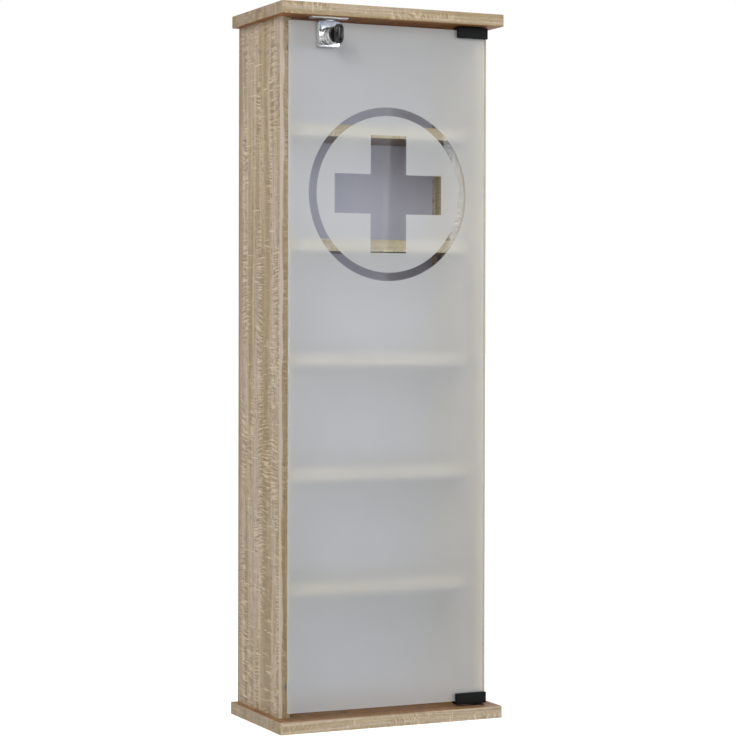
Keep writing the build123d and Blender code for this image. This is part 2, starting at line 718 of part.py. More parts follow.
# Lock case: a housing in front of the glass, a neck over its edge and a jaw behind it
jaw_front = jaw_rear - CLAMP_REAR
jaw_top = glass_top - GLASS_ARRIS
jaw_z = jaw_top - JAW_HEIGHT / 2
lock_grub_seats = [
    Location((lock_x + offset, jaw_rear, glass_top - LOCK_GRUB_DROP), TO_REAR)
    for offset in (-LOCK_GRUB_SPREAD / 2, LOCK_GRUB_SPREAD / 2)
]
cover_bottom = lock_z - BOLT_TAIL - COVER_LEDGE
cover_top = glass_top - COVER_LEDGE
cover_z = (cover_bottom + cover_top) / 2
channel_bottom = lock_z - BOLT_TAIL - BOLT_PLAY
channel_shoulder = lock_z + BOLT_SHOULDER + BOLT_THROW + BOLT_PLAY

with BuildPart() as lock_case:
    with BuildSketch(front_plane(case_rear)):
        with Locations((lock_x, case_bottom + CASE_HEIGHT / 2)):
            RectangleRounded(CASE_WIDTH, CASE_HEIGHT, CASE_CORNER)
    extrude(amount=CASE_DEPTH)
    chamfer(lock_case.faces().sort_by(Axis.Y)[0].edges(), CASE_EDGE)

    # Neck and jaw
    leg = glass_top - CASE_CORNER
    with BuildSketch(Plane.YZ.offset(lock_x)) as neck:
        with BuildLine():
            Polyline(
                (case_front + CASE_EDGE, leg),
                (case_front + CASE_EDGE, neck_top),
                (jaw_rear, neck_top),
                (jaw_rear, leg),
                (jaw_front, leg),
                (jaw_front, glass_top + LINER),
                (case_rear, glass_top + LINER),
                (case_rear, leg),
                close=True,
            )
        make_face()
        fillet(neck.vertices().group_by(Axis.Y)[-1], NECK_BRIDGE / 2)
    extrude(amount=NECK_WIDTH / 2, both=True)
    with BuildSketch(front_plane(jaw_rear)):
        with Locations((lock_x, jaw_z)):
            RectangleRounded(JAW_WIDTH, JAW_HEIGHT, CASE_CORNER)
    extrude(amount=CLAMP_REAR)

    # Channel for the bolt, open towards the glass up to its cover's top, closed in the neck
    with BuildSketch(front_plane(case_rear)):
        with Locations((lock_x, (channel_bottom + channel_shoulder) / 2)):
            Rectangle(BOLT_BODY_WIDTH + 2 * BOLT_PLAY, channel_shoulder - channel_bottom)
        with Locations((lock_x, (channel_bottom + cover_top) / 2)):
            Rectangle(BOLT_WIDTH + 2 * BOLT_PLAY, cover_top - channel_bottom)
    extrude(amount=case_rear - channel_front, mode=Mode.SUBTRACT)
    with BuildSketch(Plane.XY.offset(cover_top - BOLT_PLAY)):
        with Locations((lock_x, bolt_middle)):
            Rectangle(BOLT_WIDTH + 2 * BOLT_PLAY, BOLT_SHEET + 2 * BOLT_PLAY)
    extrude(amount=neck_top - cover_top + 2 * BOLT_PLAY, mode=Mode.SUBTRACT)
    with BuildSketch(front_plane(case_rear)):
        with Locations((lock_x, cover_z)):
            Rectangle(COVER_WIDTH + 2 * SEAT_PLAY, cover_top - cover_bottom + 2 * SEAT_PLAY)
    extrude(amount=COVER, mode=Mode.SUBTRACT)

    # Seat of the cylinder and room for the clip behind it
    with BuildSketch(front_plane(channel_front)):
        with Locations((lock_x, lock_z)):
            Circle(CLIP_POCKET_R)
    extrude(amount=channel_front - wall_rear, mode=Mode.SUBTRACT)
    with BuildSketch(front_plane(wall_rear)):
        with Locations((lock_x, lock_z)):
            Circle(SPIGOT_R + SEAT_PLAY)
    extrude(amount=SPIGOT, mode=Mode.SUBTRACT)
    with Locations(*lock_grub_seats):
        Hole(GRUB_R + SEAT_PLAY, CLAMP_REAR)
save(lock_case, "lock_case")

with BuildPart() as lock_cover:
    with BuildSketch(front_plane(case_rear)):
        with Locations((lock_x, cover_z)):
            Rectangle(COVER_WIDTH, cover_top - cover_bottom)
    extrude(amount=COVER)
save(lock_cover, "lock_cover")

# Soft liner between the case and the glass, turned over the edge under the neck
with BuildPart() as lock_liner:
    with BuildSketch(front_plane(glass_front)):
        with Locations((lock_x, case_bottom + CASE_HEIGHT / 2)):
            RectangleRounded(CASE_WIDTH - 2 * CASE_EDGE, CASE_HEIGHT - 2 * CASE_EDGE, CASE_CORNER)
    extrude(amount=LINER)
    with BuildSketch(Plane.XY.offset(glass_top)):
        with Locations((lock_x, (case_rear + jaw_front) / 2)):
            Rectangle(NECK_WIDTH, jaw_front - case_rear)
    extrude(amount=LINER)
    with BuildSketch(front_plane(glass_front)):
        with Locations((lock_x, glass_top - CASE_EDGE)):
            Rectangle(NECK_WIDTH, 2 * CASE_EDGE)
    extrude(amount=LINER)
save(lock_liner, "lock_liner")

with BuildPart() as lock_pad:
    with BuildSketch(front_plane(glass_rear + PAD)):
        with Locations((lock_x, jaw_z)):
            Rectangle(JAW_WIDTH - 2 * PAD, JAW_HEIGHT - 2 * PAD)
    extrude(amount=PAD)
save(lock_pad, "lock_pad")

with BuildPart() as lock_grub_screws:
    with Locations(*lock_grub_seats):
        add(grub_screw)
save(lock_grub_screws, "lock_grub_screws")

# Turned pieces of the lock, all about one axis


def turned(profile):
    """A solid turned about the lock's axis from points of radius and depth."""
    with BuildPart() as piece:
        with BuildSketch(Plane.XY.offset(lock_z)):
            with BuildLine():
                Polyline(*[(lock_x + radius, y) for radius, y in profile], close=True)
            make_face()
        revolve(axis=Axis((lock_x, 0, lock_z), (0, 1, 0)))
    return piece


plug_bore_r = PLUG_R + RUNNING_PLAY
groove_r = CYLINDER_R - CYLINDER_GROOVE_DEPTH
rear_groove = case_front - REAR_RING
front_groove = cylinder_front + FRONT_RING
recess_r = CAP_R + CAP_PLAY
recess_floor = cylinder_front + CAP_RECESS

with BuildPart() as lock_cylinder:
    add(
        turned(
            [
                (plug_bore_r, wall_rear),
                (SPIGOT_R, wall_rear),
                (SPIGOT_R, case_front),
                (REAR_RING_R, case_front),
                (REAR_RING_R, rear_groove),
                (groove_r, rear_groove),
                (groove_r, rear_groove - CYLINDER_GROOVE),
                (CYLINDER_R, rear_groove - CYLINDER_GROOVE),
                (CYLINDER_R, front_groove + CYLINDER_GROOVE),
                (groove_r, front_groove + CYLINDER_GROOVE),
                (groove_r, front_groove),
                (REAR_RING_R, front_groove),
                (REAR_RING_R, cylinder_front),
                (recess_r, cylinder_front),
                (recess_r, recess_floor),
                (plug_bore_r, recess_floor),
            ]
        )
    )
    # Channel that the wafers drop into when the key is out
    with BuildSketch(front_plane(wafer_places[-1] + WAFER_PITCH)):
        with Locations((lock_x, lock_z)):
            Rectangle(WAFER_CHANNEL_WIDTH, 2 * (PLUG_R + WAFER_CHANNEL_DEPTH))
    extrude(amount=wafer_places[-1] - wafer_places[0] + 2 * WAFER_PITCH, mode=Mode.SUBTRACT)
save(lock_cylinder, "lock_cylinder")

# Plug: keyway, wafer slots, clip groove and the crank pin on its rear face
plug_rear = channel_front - BOLT_PLAY
clip_front = wall_rear + THRUST_PLAY
clip_groove_r = PLUG_R - CLIP_GROOVE_DEPTH
with BuildPart() as lock_plug:
    add(
        turned(
            [
                (0, cap_rear),
                (PLUG_R, cap_rear),
                (PLUG_R, clip_front - SEAT_PLAY),
                (clip_groove_r, clip_front - SEAT_PLAY),
                (clip_groove_r, clip_front + CLIP + SEAT_PLAY),
                (PLUG_R, clip_front + CLIP + SEAT_PLAY),
                (PLUG_R, plug_rear),
                (0, plug_rear),
            ]
        )
    )
    with BuildSketch(front_plane(plug_rear)):
        with Locations((lock_x - crank_offset, lock_z - crank_offset)):
            Circle(CRANK_PIN_R)
    extrude(amount=plug_rear - bolt_rear)
    with BuildSketch(front_plane(cap_rear)):
        with Locations((lock_x, lock_z)):
            Rectangle(keyway_width, keyway_height)
    extrude(amount=cap_rear - blade_tip - BLADE_SHEET, mode=Mode.SUBTRACT)
    for y in wafer_places:
        with BuildSketch(front_plane(y + WAFER + SEAT_PLAY)):
            with Locations((lock_x, lock_z)):
                Rectangle(WAFER_WIDTH + 2 * BLADE_PLAY, 2 * PLUG_R + WAFER)
        extrude(amount=WAFER + 2 * SEAT_PLAY, mode=Mode.SUBTRACT)
save(lock_plug, "lock_plug")

with BuildPart() as plug_cap:
    with BuildSketch(front_plane(cap_rear)):
        with Locations((lock_x, lock_z)):
            Circle(CAP_R)
            Rectangle(keyway_width, keyway_height, mode=Mode.SUBTRACT)
    extrude(amount=CAP)
    chamfer(plug_cap.faces().sort_by(Axis.Y)[0].edges().filter_by(GeomType.CIRCLE), CAP / 4)
save(plug_cap, "plug_cap")

with BuildPart() as plug_clip:
    with BuildSketch(front_plane(clip_front + CLIP)):
        with Locations((lock_x, lock_z)):
            Circle(CLIP_R)
            Circle(clip_groove_r + SEAT_PLAY, mode=Mode.SUBTRACT)
        with Locations((lock_x, lock_z - CLIP_R)):
            Rectangle(PLUG_R, CLIP_R, mode=Mode.SUBTRACT)
    extrude(amount=CLIP)
save(plug_clip, "plug_clip")

with BuildPart() as lock_wafers:
    for y in wafer_places:
        with BuildSketch(front_plane(y + WAFER)):
            with Locations((lock_x, lock_z)):
                Rectangle(WAFER_WIDTH, WAFER_HEIGHT)
                Rectangle(
                    keyway_width + BLADE_PLAY,
                    keyway_height + BLADE_PLAY,
                    mode=Mode.SUBTRACT,
                )
        extrude(amount=WAFER)
save(lock_wafers, "lock_wafers")

# Bolt: a wide body round the crank pin and a nose that stands out of the neck
crank_slot = CRANK_PIN_R + CRANK_SLOT_PLAY
with BuildPart() as lock_bolt:
    with BuildSketch(front_plane(bolt_rear)):
        with Locations((lock_x, lock_z + (BOLT_SHOULDER - BOLT_TAIL) / 2)):
            Rectangle(BOLT_BODY_WIDTH, BOLT_SHOULDER + BOLT_TAIL)
        with Locations((lock_x, (lock_z + bolt_nose) / 2)):
            Rectangle(BOLT_WIDTH, bolt_nose - lock_z)
        with Locations((lock_x - (crank_offset + crank_r) / 2, lock_z - crank_offset)):
            SlotOverall(crank_r - crank_offset + 2 * crank_slot, 2 * crank_slot, mode=Mode.SUBTRACT)
    extrude(amount=BOLT_SHEET)
    chamfer(lock_bolt.faces().sort_by(Axis.Z)[-1].edges(), BOLT_SHEET / 6)
save(lock_bolt, "lock_bolt")

# Key
blade_end = bow_rear - BLADE_IN_HEAD
with BuildPart() as key_blade:
    with BuildSketch(Plane.YZ.offset(lock_x)) as blade:
        with Locations(((blade_end + blade_tip) / 2, lock_z)):
            Rectangle(blade_tip - blade_end, BLADE_HEIGHT)
        chamfer(blade.vertices().group_by(Axis.X)[-1], BLADE_HEIGHT / 4)
        top = lock_z + BLADE_HEIGHT / 2
        for y, cut in zip(wafer_places, BITTING):
            middle = y + WAFER / 2
            with BuildLine():
                Polyline(
                    (middle - WAFER / 2 - cut, top),
                    (middle - WAFER / 2, top - cut),
                    (middle + WAFER / 2, top - cut),
                    (middle + WAFER / 2 + cut, top),
                    close=True,
                )
            make_face(mode=Mode.SUBTRACT)
    extrude(amount=BLADE_SHEET / 2, both=True)
save(key_blade, "key_blade")

with BuildPart() as key_head:
    with BuildSketch(Plane.YZ.offset(lock_x)):
        with Locations((bow_middle, lock_z)):
            RectangleRounded(BOW_LENGTH, BOW_HEIGHT, BOW_CORNER)
    extrude(amount=BOW_THICKNESS / 2, both=True)
    chamfer(key_head.faces().filter_by(Axis.X).edges(), BOW_EDGE)

    # Recess in both faces, ring hole and seat of the blade
    for face_x, turn in ((lock_x - BOW_THICKNESS / 2, 1), (lock_x + BOW_THICKNESS / 2, -1)):
        with BuildSketch(Plane.YZ.offset(face_x)):
            with Locations((bow_middle, lock_z)):
                RectangleRounded(BOW_LENGTH - 2 * BOW_RIM, BOW_HEIGHT - 2 * BOW_RIM, BOW_CORNER - BOW_RIM)
        extrude(amount=turn * BOW_RECESS, mode=Mode.SUBTRACT)
    with BuildSketch(Plane.YZ.offset(lock_x)):
        with Locations((bow_rear - BOW_LENGTH + BOW_HOLE_INSET, lock_z)):
            Circle(BOW_HOLE_R)
    extrude(amount=BOW_THICKNESS, both=True, mode=Mode.SUBTRACT)
    with BuildSketch(front_plane(bow_rear)):
        with Locations((lock_x, lock_z)):
            Rectangle(BLADE_SHEET, BLADE_HEIGHT)
    extrude(amount=BLADE_IN_HEAD, mode=Mode.SUBTRACT)
save(key_head, "key_head")
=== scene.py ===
from math import pi, radians

import bmesh
import bpy
from mathutils import Matrix, Vector


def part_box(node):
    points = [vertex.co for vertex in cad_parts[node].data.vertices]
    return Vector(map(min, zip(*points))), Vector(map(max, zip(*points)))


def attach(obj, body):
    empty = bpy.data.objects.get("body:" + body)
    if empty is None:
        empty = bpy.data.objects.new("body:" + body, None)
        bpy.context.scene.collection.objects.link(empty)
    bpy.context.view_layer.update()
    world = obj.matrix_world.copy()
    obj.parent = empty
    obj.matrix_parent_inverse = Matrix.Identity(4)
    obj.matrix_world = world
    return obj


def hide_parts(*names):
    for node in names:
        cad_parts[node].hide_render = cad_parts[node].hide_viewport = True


# Wall-hung medicine cabinet, dressed piece by piece in the order in which it is put together.
# Everything is in metres, and a size in millimetres is written with MM or given to repeats().

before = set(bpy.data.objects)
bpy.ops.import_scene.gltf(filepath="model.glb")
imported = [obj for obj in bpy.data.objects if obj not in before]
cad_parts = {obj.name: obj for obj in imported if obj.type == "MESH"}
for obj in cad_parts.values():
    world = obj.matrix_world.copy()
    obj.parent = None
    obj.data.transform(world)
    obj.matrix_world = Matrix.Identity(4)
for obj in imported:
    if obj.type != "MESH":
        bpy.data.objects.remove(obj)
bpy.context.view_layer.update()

# Side panels. Chipboard faced with printed oak paper under melamine, with a band of the same
# print on the front edge. The rear edge is bare chipboard. The grain runs up the panel, and
# the print copies rough-sawn oak, with saw marks across the grain.

MM = 0.001
LOW, HIGH = 0.3, 0.7     # nearly all of a noise pattern lies between these levels
FACING = 0.7             # a face looks along an axis where its normal's part along it is larger


def repeats(size):
    """How often a pattern of this size in millimetres repeats in a metre."""
    return 1 / (size * MM)


def linear(code):
    """The linear colour of an sRGB hex code."""
    levels = [int(code[i : i + 2], 16) / 255 for i in (1, 3, 5)]
    return [v / 12.92 if v <= 0.04045 else ((v + 0.055) / 1.055) ** 2.4 for v in levels] + [1.0]


def add(tree, kind, inputs=None, stops=None, **options):
    """Add a shader node: inputs are values or sockets, stops a ramp's colours, options its settings.
    A MapRange's inputs 1 and 2 are the range it reads, and 3 and 4 the range it gives. A Mix's input
    0 is the share, 2 and 3 are numbers to mix, and 6 and 7 colours."""
    new = tree.nodes.new("ShaderNode" + kind)
    for option, value in options.items():
        setattr(new, option, value)
    for key, value in (inputs or {}).items():
        if isinstance(value, bpy.types.NodeSocket):
            tree.links.new(value, new.inputs[key])
        else:
            new.inputs[key].default_value = value
    if stops:
        ramp = new.color_ramp.elements
        while len(ramp) < len(stops):
            ramp.new(1.0)
        for element, (position, colour) in zip(ramp, stops):
            element.position = position
            element.color = linear(colour)
    return new


def start_material(name):
    """A new material, its node tree and its Principled shader."""
    material = bpy.data.materials.new(name)
    material.use_nodes = True
    return material, material.node_tree, material.node_tree.nodes["Principled BSDF"]


def finish_with(material, *names):
    """Give the named pieces of the frame this finish."""
    for name in names:
        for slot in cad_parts[name].material_slots:
            slot.material = material


def oak_decor(name, grain, start, front, bleach=0.0, painted_shade_side=0.0, painted_shade_tint="#ffffff", shine=0.5):
    """Printed oak decor. Grain is the axis it runs along, start its place on the printed sheet in
    metres, and front the y of the piece's front face. Bleach pales it. A shaded side of 1 paints
    shade in the given tint over its upper face, which looks into the cabinet, and -1 over its lower
    face. Shine is its specular level."""
    material, tree, shader = start_material(name)
    shader.inputs["Specular IOR Level"].default_value = shine
    coords = add(tree, "TexCoord")
    place = add(tree, "SeparateXYZ", {0: coords.outputs["Object"]})
    facing = add(tree, "SeparateXYZ", {0: coords.outputs["Normal"]})
    sideways = add(tree, "Math", {0: facing.outputs[0]}, operation="ABSOLUTE")
    along, through = place.outputs[2], place.outputs[0]
    if grain == "X":
        # The end bands are cut across the sheet, so their grain stands upright
        on_end = add(tree, "Math", {0: sideways.outputs[0], 1: FACING}, operation="GREATER_THAN").outputs[0]
        along = add(tree, "Mix", {0: on_end, 2: place.outputs[0], 3: place.outputs[2]}).outputs[0]
        through = add(tree, "Mix", {0: on_end, 2: place.outputs[2], 3: place.outputs[0]}).outputs[0]
    joined = add(tree, "CombineXYZ", {0: through, 1: place.outputs[1], 2: along})
    sheet = add(tree, "VectorMath", {0: joined.outputs[0], 1: start}, operation="ADD")

    # The grain wanders a few millimetres off straight, and the saw marks lean to and fro
    places = {"sheet": sheet.outputs[0]}
    for moved, base, size, shift in (
        ("wood", "sheet", (110, 110, 290), (16, 16, 0)),
        ("sawn", "wood", (14, 60, 150), (0, 0, 26)),
    ):
        scale = [repeats(length) for length in size]
        scaled = add(tree, "VectorMath", {0: places["sheet"], 1: scale}, operation="MULTIPLY")
        noise = add(tree, "TexNoise", {"Vector": scaled.outputs[0], "Scale": 1.0, "Detail": 1.0})
        centred = add(tree, "VectorMath", {0: noise.outputs[1], 1: (0.5, 0.5, 0.5)}, operation="SUBTRACT")
        span = [length * MM for length in shift]
        offset = add(tree, "VectorMath", {0: centred.outputs[0], 1: span}, operation="MULTIPLY")
        shifted = add(tree, "VectorMath", {0: places[base], 1: offset.outputs[0]}, operation="ADD")
        places[moved] = shifted.outputs[0]

    # Each feature's size in millimetres through the board, across it and along the grain. Fibres
    # and pores are drawn wider than real ones so that they show
    values = {"depth": place.outputs[1], "front": facing.outputs[1], "sideways": sideways.outputs[0]}
    for feature, base, size, detail in (
        ("streak", "wood", (7, 22, 640), 1.5),
        ("narrow streak", "wood", (2.2, 7.5, 260), 3.0),
        ("fibre", "wood", (1.1, 4.2, 38), 2.0),
        ("pore", "wood", (1.0, 3.6, 9), 0.0),
        ("stroke", "sawn", (10, 26, 2.1), 1.0),
        ("patch", "sheet", (12, 20, 90), 1.0),
        ("pause", "sheet", (18, 40, 2.3), 1.0),
        ("zone", "sheet", (30, 50, 130), 1.0),
        ("height", "sawn", (9, 40, 110), 1.0),
        ("wander", "sheet", (12, 12, 60), 1.0),
    ):
        scale = [repeats(length) for length in size]
        scaled = add(tree, "VectorMath", {0: places[base], 1: scale}, operation="MULTIPLY")
        noise = add(tree, "TexNoise", {"Vector": scaled.outputs[0], "Scale": 1.0, "Detail": detail})
        values[feature] = noise.outputs[0]
    contours = 17.0
    rings = add(tree, "Math", {0: values["height"], 1: contours}, operation="MULTIPLY")
    values["ring"] = add(tree, "Math", {0: rings.outputs[0], 1: 1.0}, operation="FRACT").outputs[0]
    sway = 2 * MM
    wobble = add(tree, "MapRange", {0: values["wander"], 1: LOW, 2: HIGH, 3: -sway, 4: sway})
    away = add(tree, "Math", {0: place.outputs[0]}, operation="ABSOLUTE")
    for feature, distance in (("outwards", away.outputs[0]), ("backwards", place.outputs[1])):
        values[feature] = add(tree, "Math", {0: distance, 1: wobble.outputs[0]}, operation="ADD").outputs[0]

    # Broad streaks of olive, beige and pinkish grey, with narrow streaks and fibres in them
    tone = add(
        tree, "ValToRGB", {0: values["streak"]},
        stops=((0.32, "#9f8864"), (0.42, "#ae9774"), (0.5, "#b8a382"), (0.57, "#c2af9d"), (0.66, "#b09977")),
    )
    printed = tone.outputs[0]
    for feature, dark, light in (("narrow streak", 0.82, 1.14), ("fibre", 0.86, 1.1)):
        shade = add(tree, "MapRange", {0: values[feature], 1: 0.32, 2: 0.68, 3: dark, 4: light})
        shaded = add(
            tree, "Mix", {0: 1.0, 6: printed, 7: shade.outputs[0]}, data_type="RGBA", blend_type="MULTIPLY"
        )
        printed = shaded.outputs[2]

    # Marks over the streaks, each printed in its colour where its features lie between the levels:
    # brown and cream saw strokes in patches, the flame figure's contours, pores, and the long pale
    # marks where the saw paused
    near_front = ("depth", front + 40 * MM, front + 12 * MM, 0.35, 1.0)
    marks = [
        ("#7d6541", ("stroke", 0.48, 0.36, 0.0, 1.0), ("patch", 0.5, 0.6, 0.08, 0.62)),
        ("#e3d2b0", ("stroke", 0.53, 0.65, 0.0, 1.0), ("patch", 0.5, 0.6, 0.08, 0.64)),
        ("#86663f", ("ring", 0.6, 0.95, 0.0, 1.0), ("zone", 0.5, 0.6, 0.0, 0.42), near_front),
        ("#dcc9a4", ("ring", 0.3, 0.05, 0.0, 1.0), ("zone", 0.5, 0.6, 0.0, 0.3), near_front),
        ("#7d6243", ("pore", 0.62, 0.74, 0.0, 0.5)),
        ("#e3d3b2", ("pause", 0.68, 0.73, 0.0, 0.65)),
    ]
    if grain == "Z":
        # The front band is browner, with a painted highlight in a pale strip beside the outer edge, and the
        # rear margin is browner too
        on_front = ("front", -0.65, -0.75, 0.0, 1.0)
        on_side = ("sideways", 0.65, 0.75, 0.0, 1.0)
        marks += [
            ("#846c46", on_front, ("sideways", 0.0, 1.0, 0.42, 0.0)),
            ("#d3c4b6", on_front, ("outwards", panel_high.x - 5.5 * MM, panel_high.x - 4 * MM, 0.0, 0.72)),
            ("#8a6d49", on_side, ("backwards", panel_high.y - 16 * MM, panel_high.y - 6 * MM, 0.0, 0.5)),
            ("#5f5036", on_side, ("depth", panel_high.y - 4.5 * MM, panel_high.y - 3 * MM, 0.0, 0.5)),
        ]
    else:
        marks.append(("#7d6344", ("sideways", 0.65, 0.75, 0.0, 0.4)))
    for colour, *levels in marks:
        share = None
        for value, low, high, at_low, at_high in levels:
            part = add(tree, "MapRange", {0: values[value], 1: low, 2: high, 3: at_low, 4: at_high})
            if share:
                part = add(tree, "Math", {0: share.outputs[0], 1: part.outputs[0]}, operation="MULTIPLY")
            share = part
        over = add(tree, "Mix", {0: share.outputs[0], 6: printed, 7: linear(colour)}, data_type="RGBA")
        printed = over.outputs[2]
    if bleach:
        printed = add(tree, "Mix", {0: bleach, 6: printed, 7: linear("#d9cdb9")}, data_type="RGBA").outputs[2]
    if painted_shade_side:
        # Painted shade: the broad face that looks into the cabinet is multiplied by a darker tint, redder on
        # the boards, in place of the shade that falls there
        shade_facing = add(tree, "Math", {0: facing.outputs[2], 1: painted_shade_side}, operation="MULTIPLY")
        inner = add(tree, "Math", {0: shade_facing.outputs[0], 1: FACING}, operation="GREATER_THAN")
        shade_painted = add(
            tree, "Mix", {0: inner.outputs[0], 6: printed, 7: linear(painted_shade_tint)},
            data_type="RGBA", blend_type="MULTIPLY",
        )
        printed = shade_painted.outputs[2]

    # Painted highlight: the broken edges of the bands are drawn a little paler than the print
    spread = add(tree, "VectorMath", {0: coords.outputs["Normal"]}, operation="ABSOLUTE")
    parts = add(tree, "SeparateXYZ", {0: spread.outputs[0]})
    largest = add(tree, "Math", {0: parts.outputs[0], 1: parts.outputs[1]}, operation="MAXIMUM")
    largest = add(tree, "Math", {0: largest.outputs[0], 1: parts.outputs[2]}, operation="MAXIMUM")
    edge_highlight_share = add(tree, "MapRange", {0: largest.outputs[0], 1: 0.8, 2: 0.9, 3: 0.35, 4: 0.0})
    printed = add(
        tree, "Mix", {0: edge_highlight_share.outputs[0], 6: printed, 7: linear("#c8b697")}, data_type="RGBA"
    ).outputs[2]

    # Bare chipboard on the rear edge: pressed chips a few millimetres long
    chip_scale = [repeats(length) for length in (2.381, 2.381, 4.762)]
    laid = add(tree, "VectorMath", {0: joined.outputs[0], 1: chip_scale}, operation="MULTIPLY")
    chips = add(tree, "TexVoronoi", {"Vector": laid.outputs[0], "Scale": 1.0, "Randomness": 1.0})
    chip_values = add(tree, "SeparateColor", {0: chips.outputs["Color"]})
    chip_tone = add(
        tree, "ValToRGB", {0: chip_values.outputs[0]},
        stops=((0.0, "#866a49"), (0.3, "#a88a62"), (0.6, "#b99c73"), (1.0, "#c9b08a")),
    )
    rear = add(tree, "Math", {0: facing.outputs[1], 1: FACING}, operation="GREATER_THAN")
    faced = add(tree, "Mix", {0: rear.outputs[0], 6: printed, 7: chip_tone.outputs[0]}, data_type="RGBA")
    tree.links.new(faced.outputs[2], shader.inputs["Base Color"])

    gloss = add(tree, "MapRange", {0: values["fibre"], 1: LOW, 2: HIGH, 3: 0.44, 4: 0.58})
    gloss = add(tree, "Mix", {0: rear.outputs[0], 2: gloss.outputs[0], 3: 0.85})
    tree.links.new(gloss.outputs[0], shader.inputs["Roughness"])
    raised = add(tree, "Math", {0: values["fibre"], 1: values["stroke"]}, operation="ADD")
    pressed = add(tree, "Math", {0: raised.outputs[0], 1: values["pore"]}, operation="SUBTRACT")
    height = add(tree, "Mix", {0: rear.outputs[0], 2: pressed.outputs[0], 3: chip_values.outputs[1]})
    relief = add(tree, "Bump", {"Strength": 0.35, "Distance": 0.15 * MM, "Height": height.outputs[0]})
    tree.links.new(relief.outputs[0], shader.inputs["Normal"])
    return material


panel_low, panel_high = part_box("side_panel_right")
finish_with(oak_decor("oak decor, left panel", "Z", (0.0, 0.0, 0.0), panel_low.y), "side_panel_left")
finish_with(oak_decor("oak decor, right panel", "Z", (0.31, 0.17, 0.9), panel_low.y), "side_panel_right")

# Top and bottom boards. The same chipboard and decor with the grain along the width, banded on
# the front and both ends. They stand out past the panels on three sides.

BOARD_SHINE = 0.17
board_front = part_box("top_board")[0].y
# Painted shade: the last column is the darker tint painted over the board's face that looks into the cabinet
for node, board_start, bleach, painted_shade_side, stain in (
    ("top_board", (0.23, 0.41, 0.3), 0.07, -1.0, "#d8a679"),
    ("bottom_board", (0.57, 0.11, 1.3), 0.19, 1.0, "#d1b298"),
):
    decor = oak_decor("oak decor, " + node, "X", board_start, board_front, bleach, painted_shade_side, stain, BOARD_SHINE)
    finish_with(decor, node)

# Shelves. Cut from the same decor board, each from its own place on the sheet, with a band on
# the front edge. They lie loose on the pins.

SHELVES = 5
SHELF_STEP = (0.37, 0.83, 0.61)      # from one shelf's place on the sheet to the next one's
shelf_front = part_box("shelf_1")[0].y
for number in range(1, SHELVES + 1):
    shelf_start = [step * number for step in SHELF_STEP]
    # Painted shade: each shelf's underside is tinted a darker grey
    finish_with(
        oak_decor(
            f"oak decor, shelf {number}", "X", shelf_start, shelf_front,
            bleach=0.25, painted_shade_side=-1.0, painted_shade_tint="#b3abab",
        ),
        f"shelf_{number}",
    )

# Back panel. Thin hardboard, pressed on a wire screen, lacquered a pale grey on the side that
# faces the shelves and left brown behind. It slides into grooves on all four sides.

SCREEN_PITCH = 1.8 * MM


def hardboard():
    """Hardboard with one lacquered face."""
    material, tree, shader = start_material("hardboard, pale face")
    coords = add(tree, "TexCoord")
    place = coords.outputs["Object"]
    facing = add(tree, "SeparateXYZ", {0: coords.outputs["Normal"]})
    behind = add(tree, "Math", {0: facing.outputs[1], 1: 0.0}, operation="GREATER_THAN")

    # Fibres about a millimetre long, in clouds, and the screen's mesh in the rear
    fleck = add(tree, "TexNoise", {"Vector": place, "Scale": repeats(1.111), "Detail": 3.0})
    cloud = add(tree, "TexNoise", {"Vector": place, "Scale": repeats(71.43), "Detail": 2.0})
    fibres = add(
        tree, "ValToRGB", {0: fleck.outputs[0]}, stops=((0.3, "#5d4024"), (0.5, "#7a5a38"), (0.72, "#97754d"))
    )
    clouded = add(tree, "MapRange", {0: cloud.outputs[0], 1: LOW, 2: HIGH, 3: 0.94, 4: 1.08})
    brown = add(
        tree, "Mix", {0: 1.0, 6: fibres.outputs[0], 7: clouded.outputs[0]},
        data_type="RGBA", blend_type="MULTIPLY",
    )
    colour = add(
        tree, "Mix", {0: behind.outputs[0], 6: linear("#bfbccd"), 7: brown.outputs[2]}, data_type="RGBA"
    )
    tree.links.new(colour.outputs[2], shader.inputs["Base Color"])
    gloss = add(tree, "Mix", {0: behind.outputs[0], 2: 0.4, 3: 0.8})
    tree.links.new(gloss.outputs[0], shader.inputs["Roughness"])

    turns = (2 * pi / SCREEN_PITCH, 0.0, 2 * pi / SCREEN_PITCH)
    mesh_place = add(tree, "VectorMath", {0: place, 1: turns}, operation="MULTIPLY")
    mesh_parts = add(tree, "SeparateXYZ", {0: mesh_place.outputs[0]})
    wires = [add(tree, "Math", {0: mesh_parts.outputs[axis]}, operation="SINE").outputs[0] for axis in (0, 2)]
    screen = add(tree, "Math", {0: wires[0], 1: wires[1]}, operation="MULTIPLY")
    rear_relief = add(tree, "Math", {0: screen.outputs[0], 1: behind.outputs[0]}, operation="MULTIPLY")
    height = add(tree, "Math", {0: rear_relief.outputs[0], 1: fleck.outputs[0]}, operation="ADD")
    relief = add(tree, "Bump", {"Strength": 0.3, "Distance": 0.1 * MM, "Height": height.outputs[0]})
    tree.links.new(relief.outputs[0], shader.inputs["Normal"])
    return material


finish_with(hardboard(), "back_panel")

# Corner joints. Beech dowels and zinc-plated cam bolts sit in the boards, and die-cast cams in
# the panels draw the bolts down.


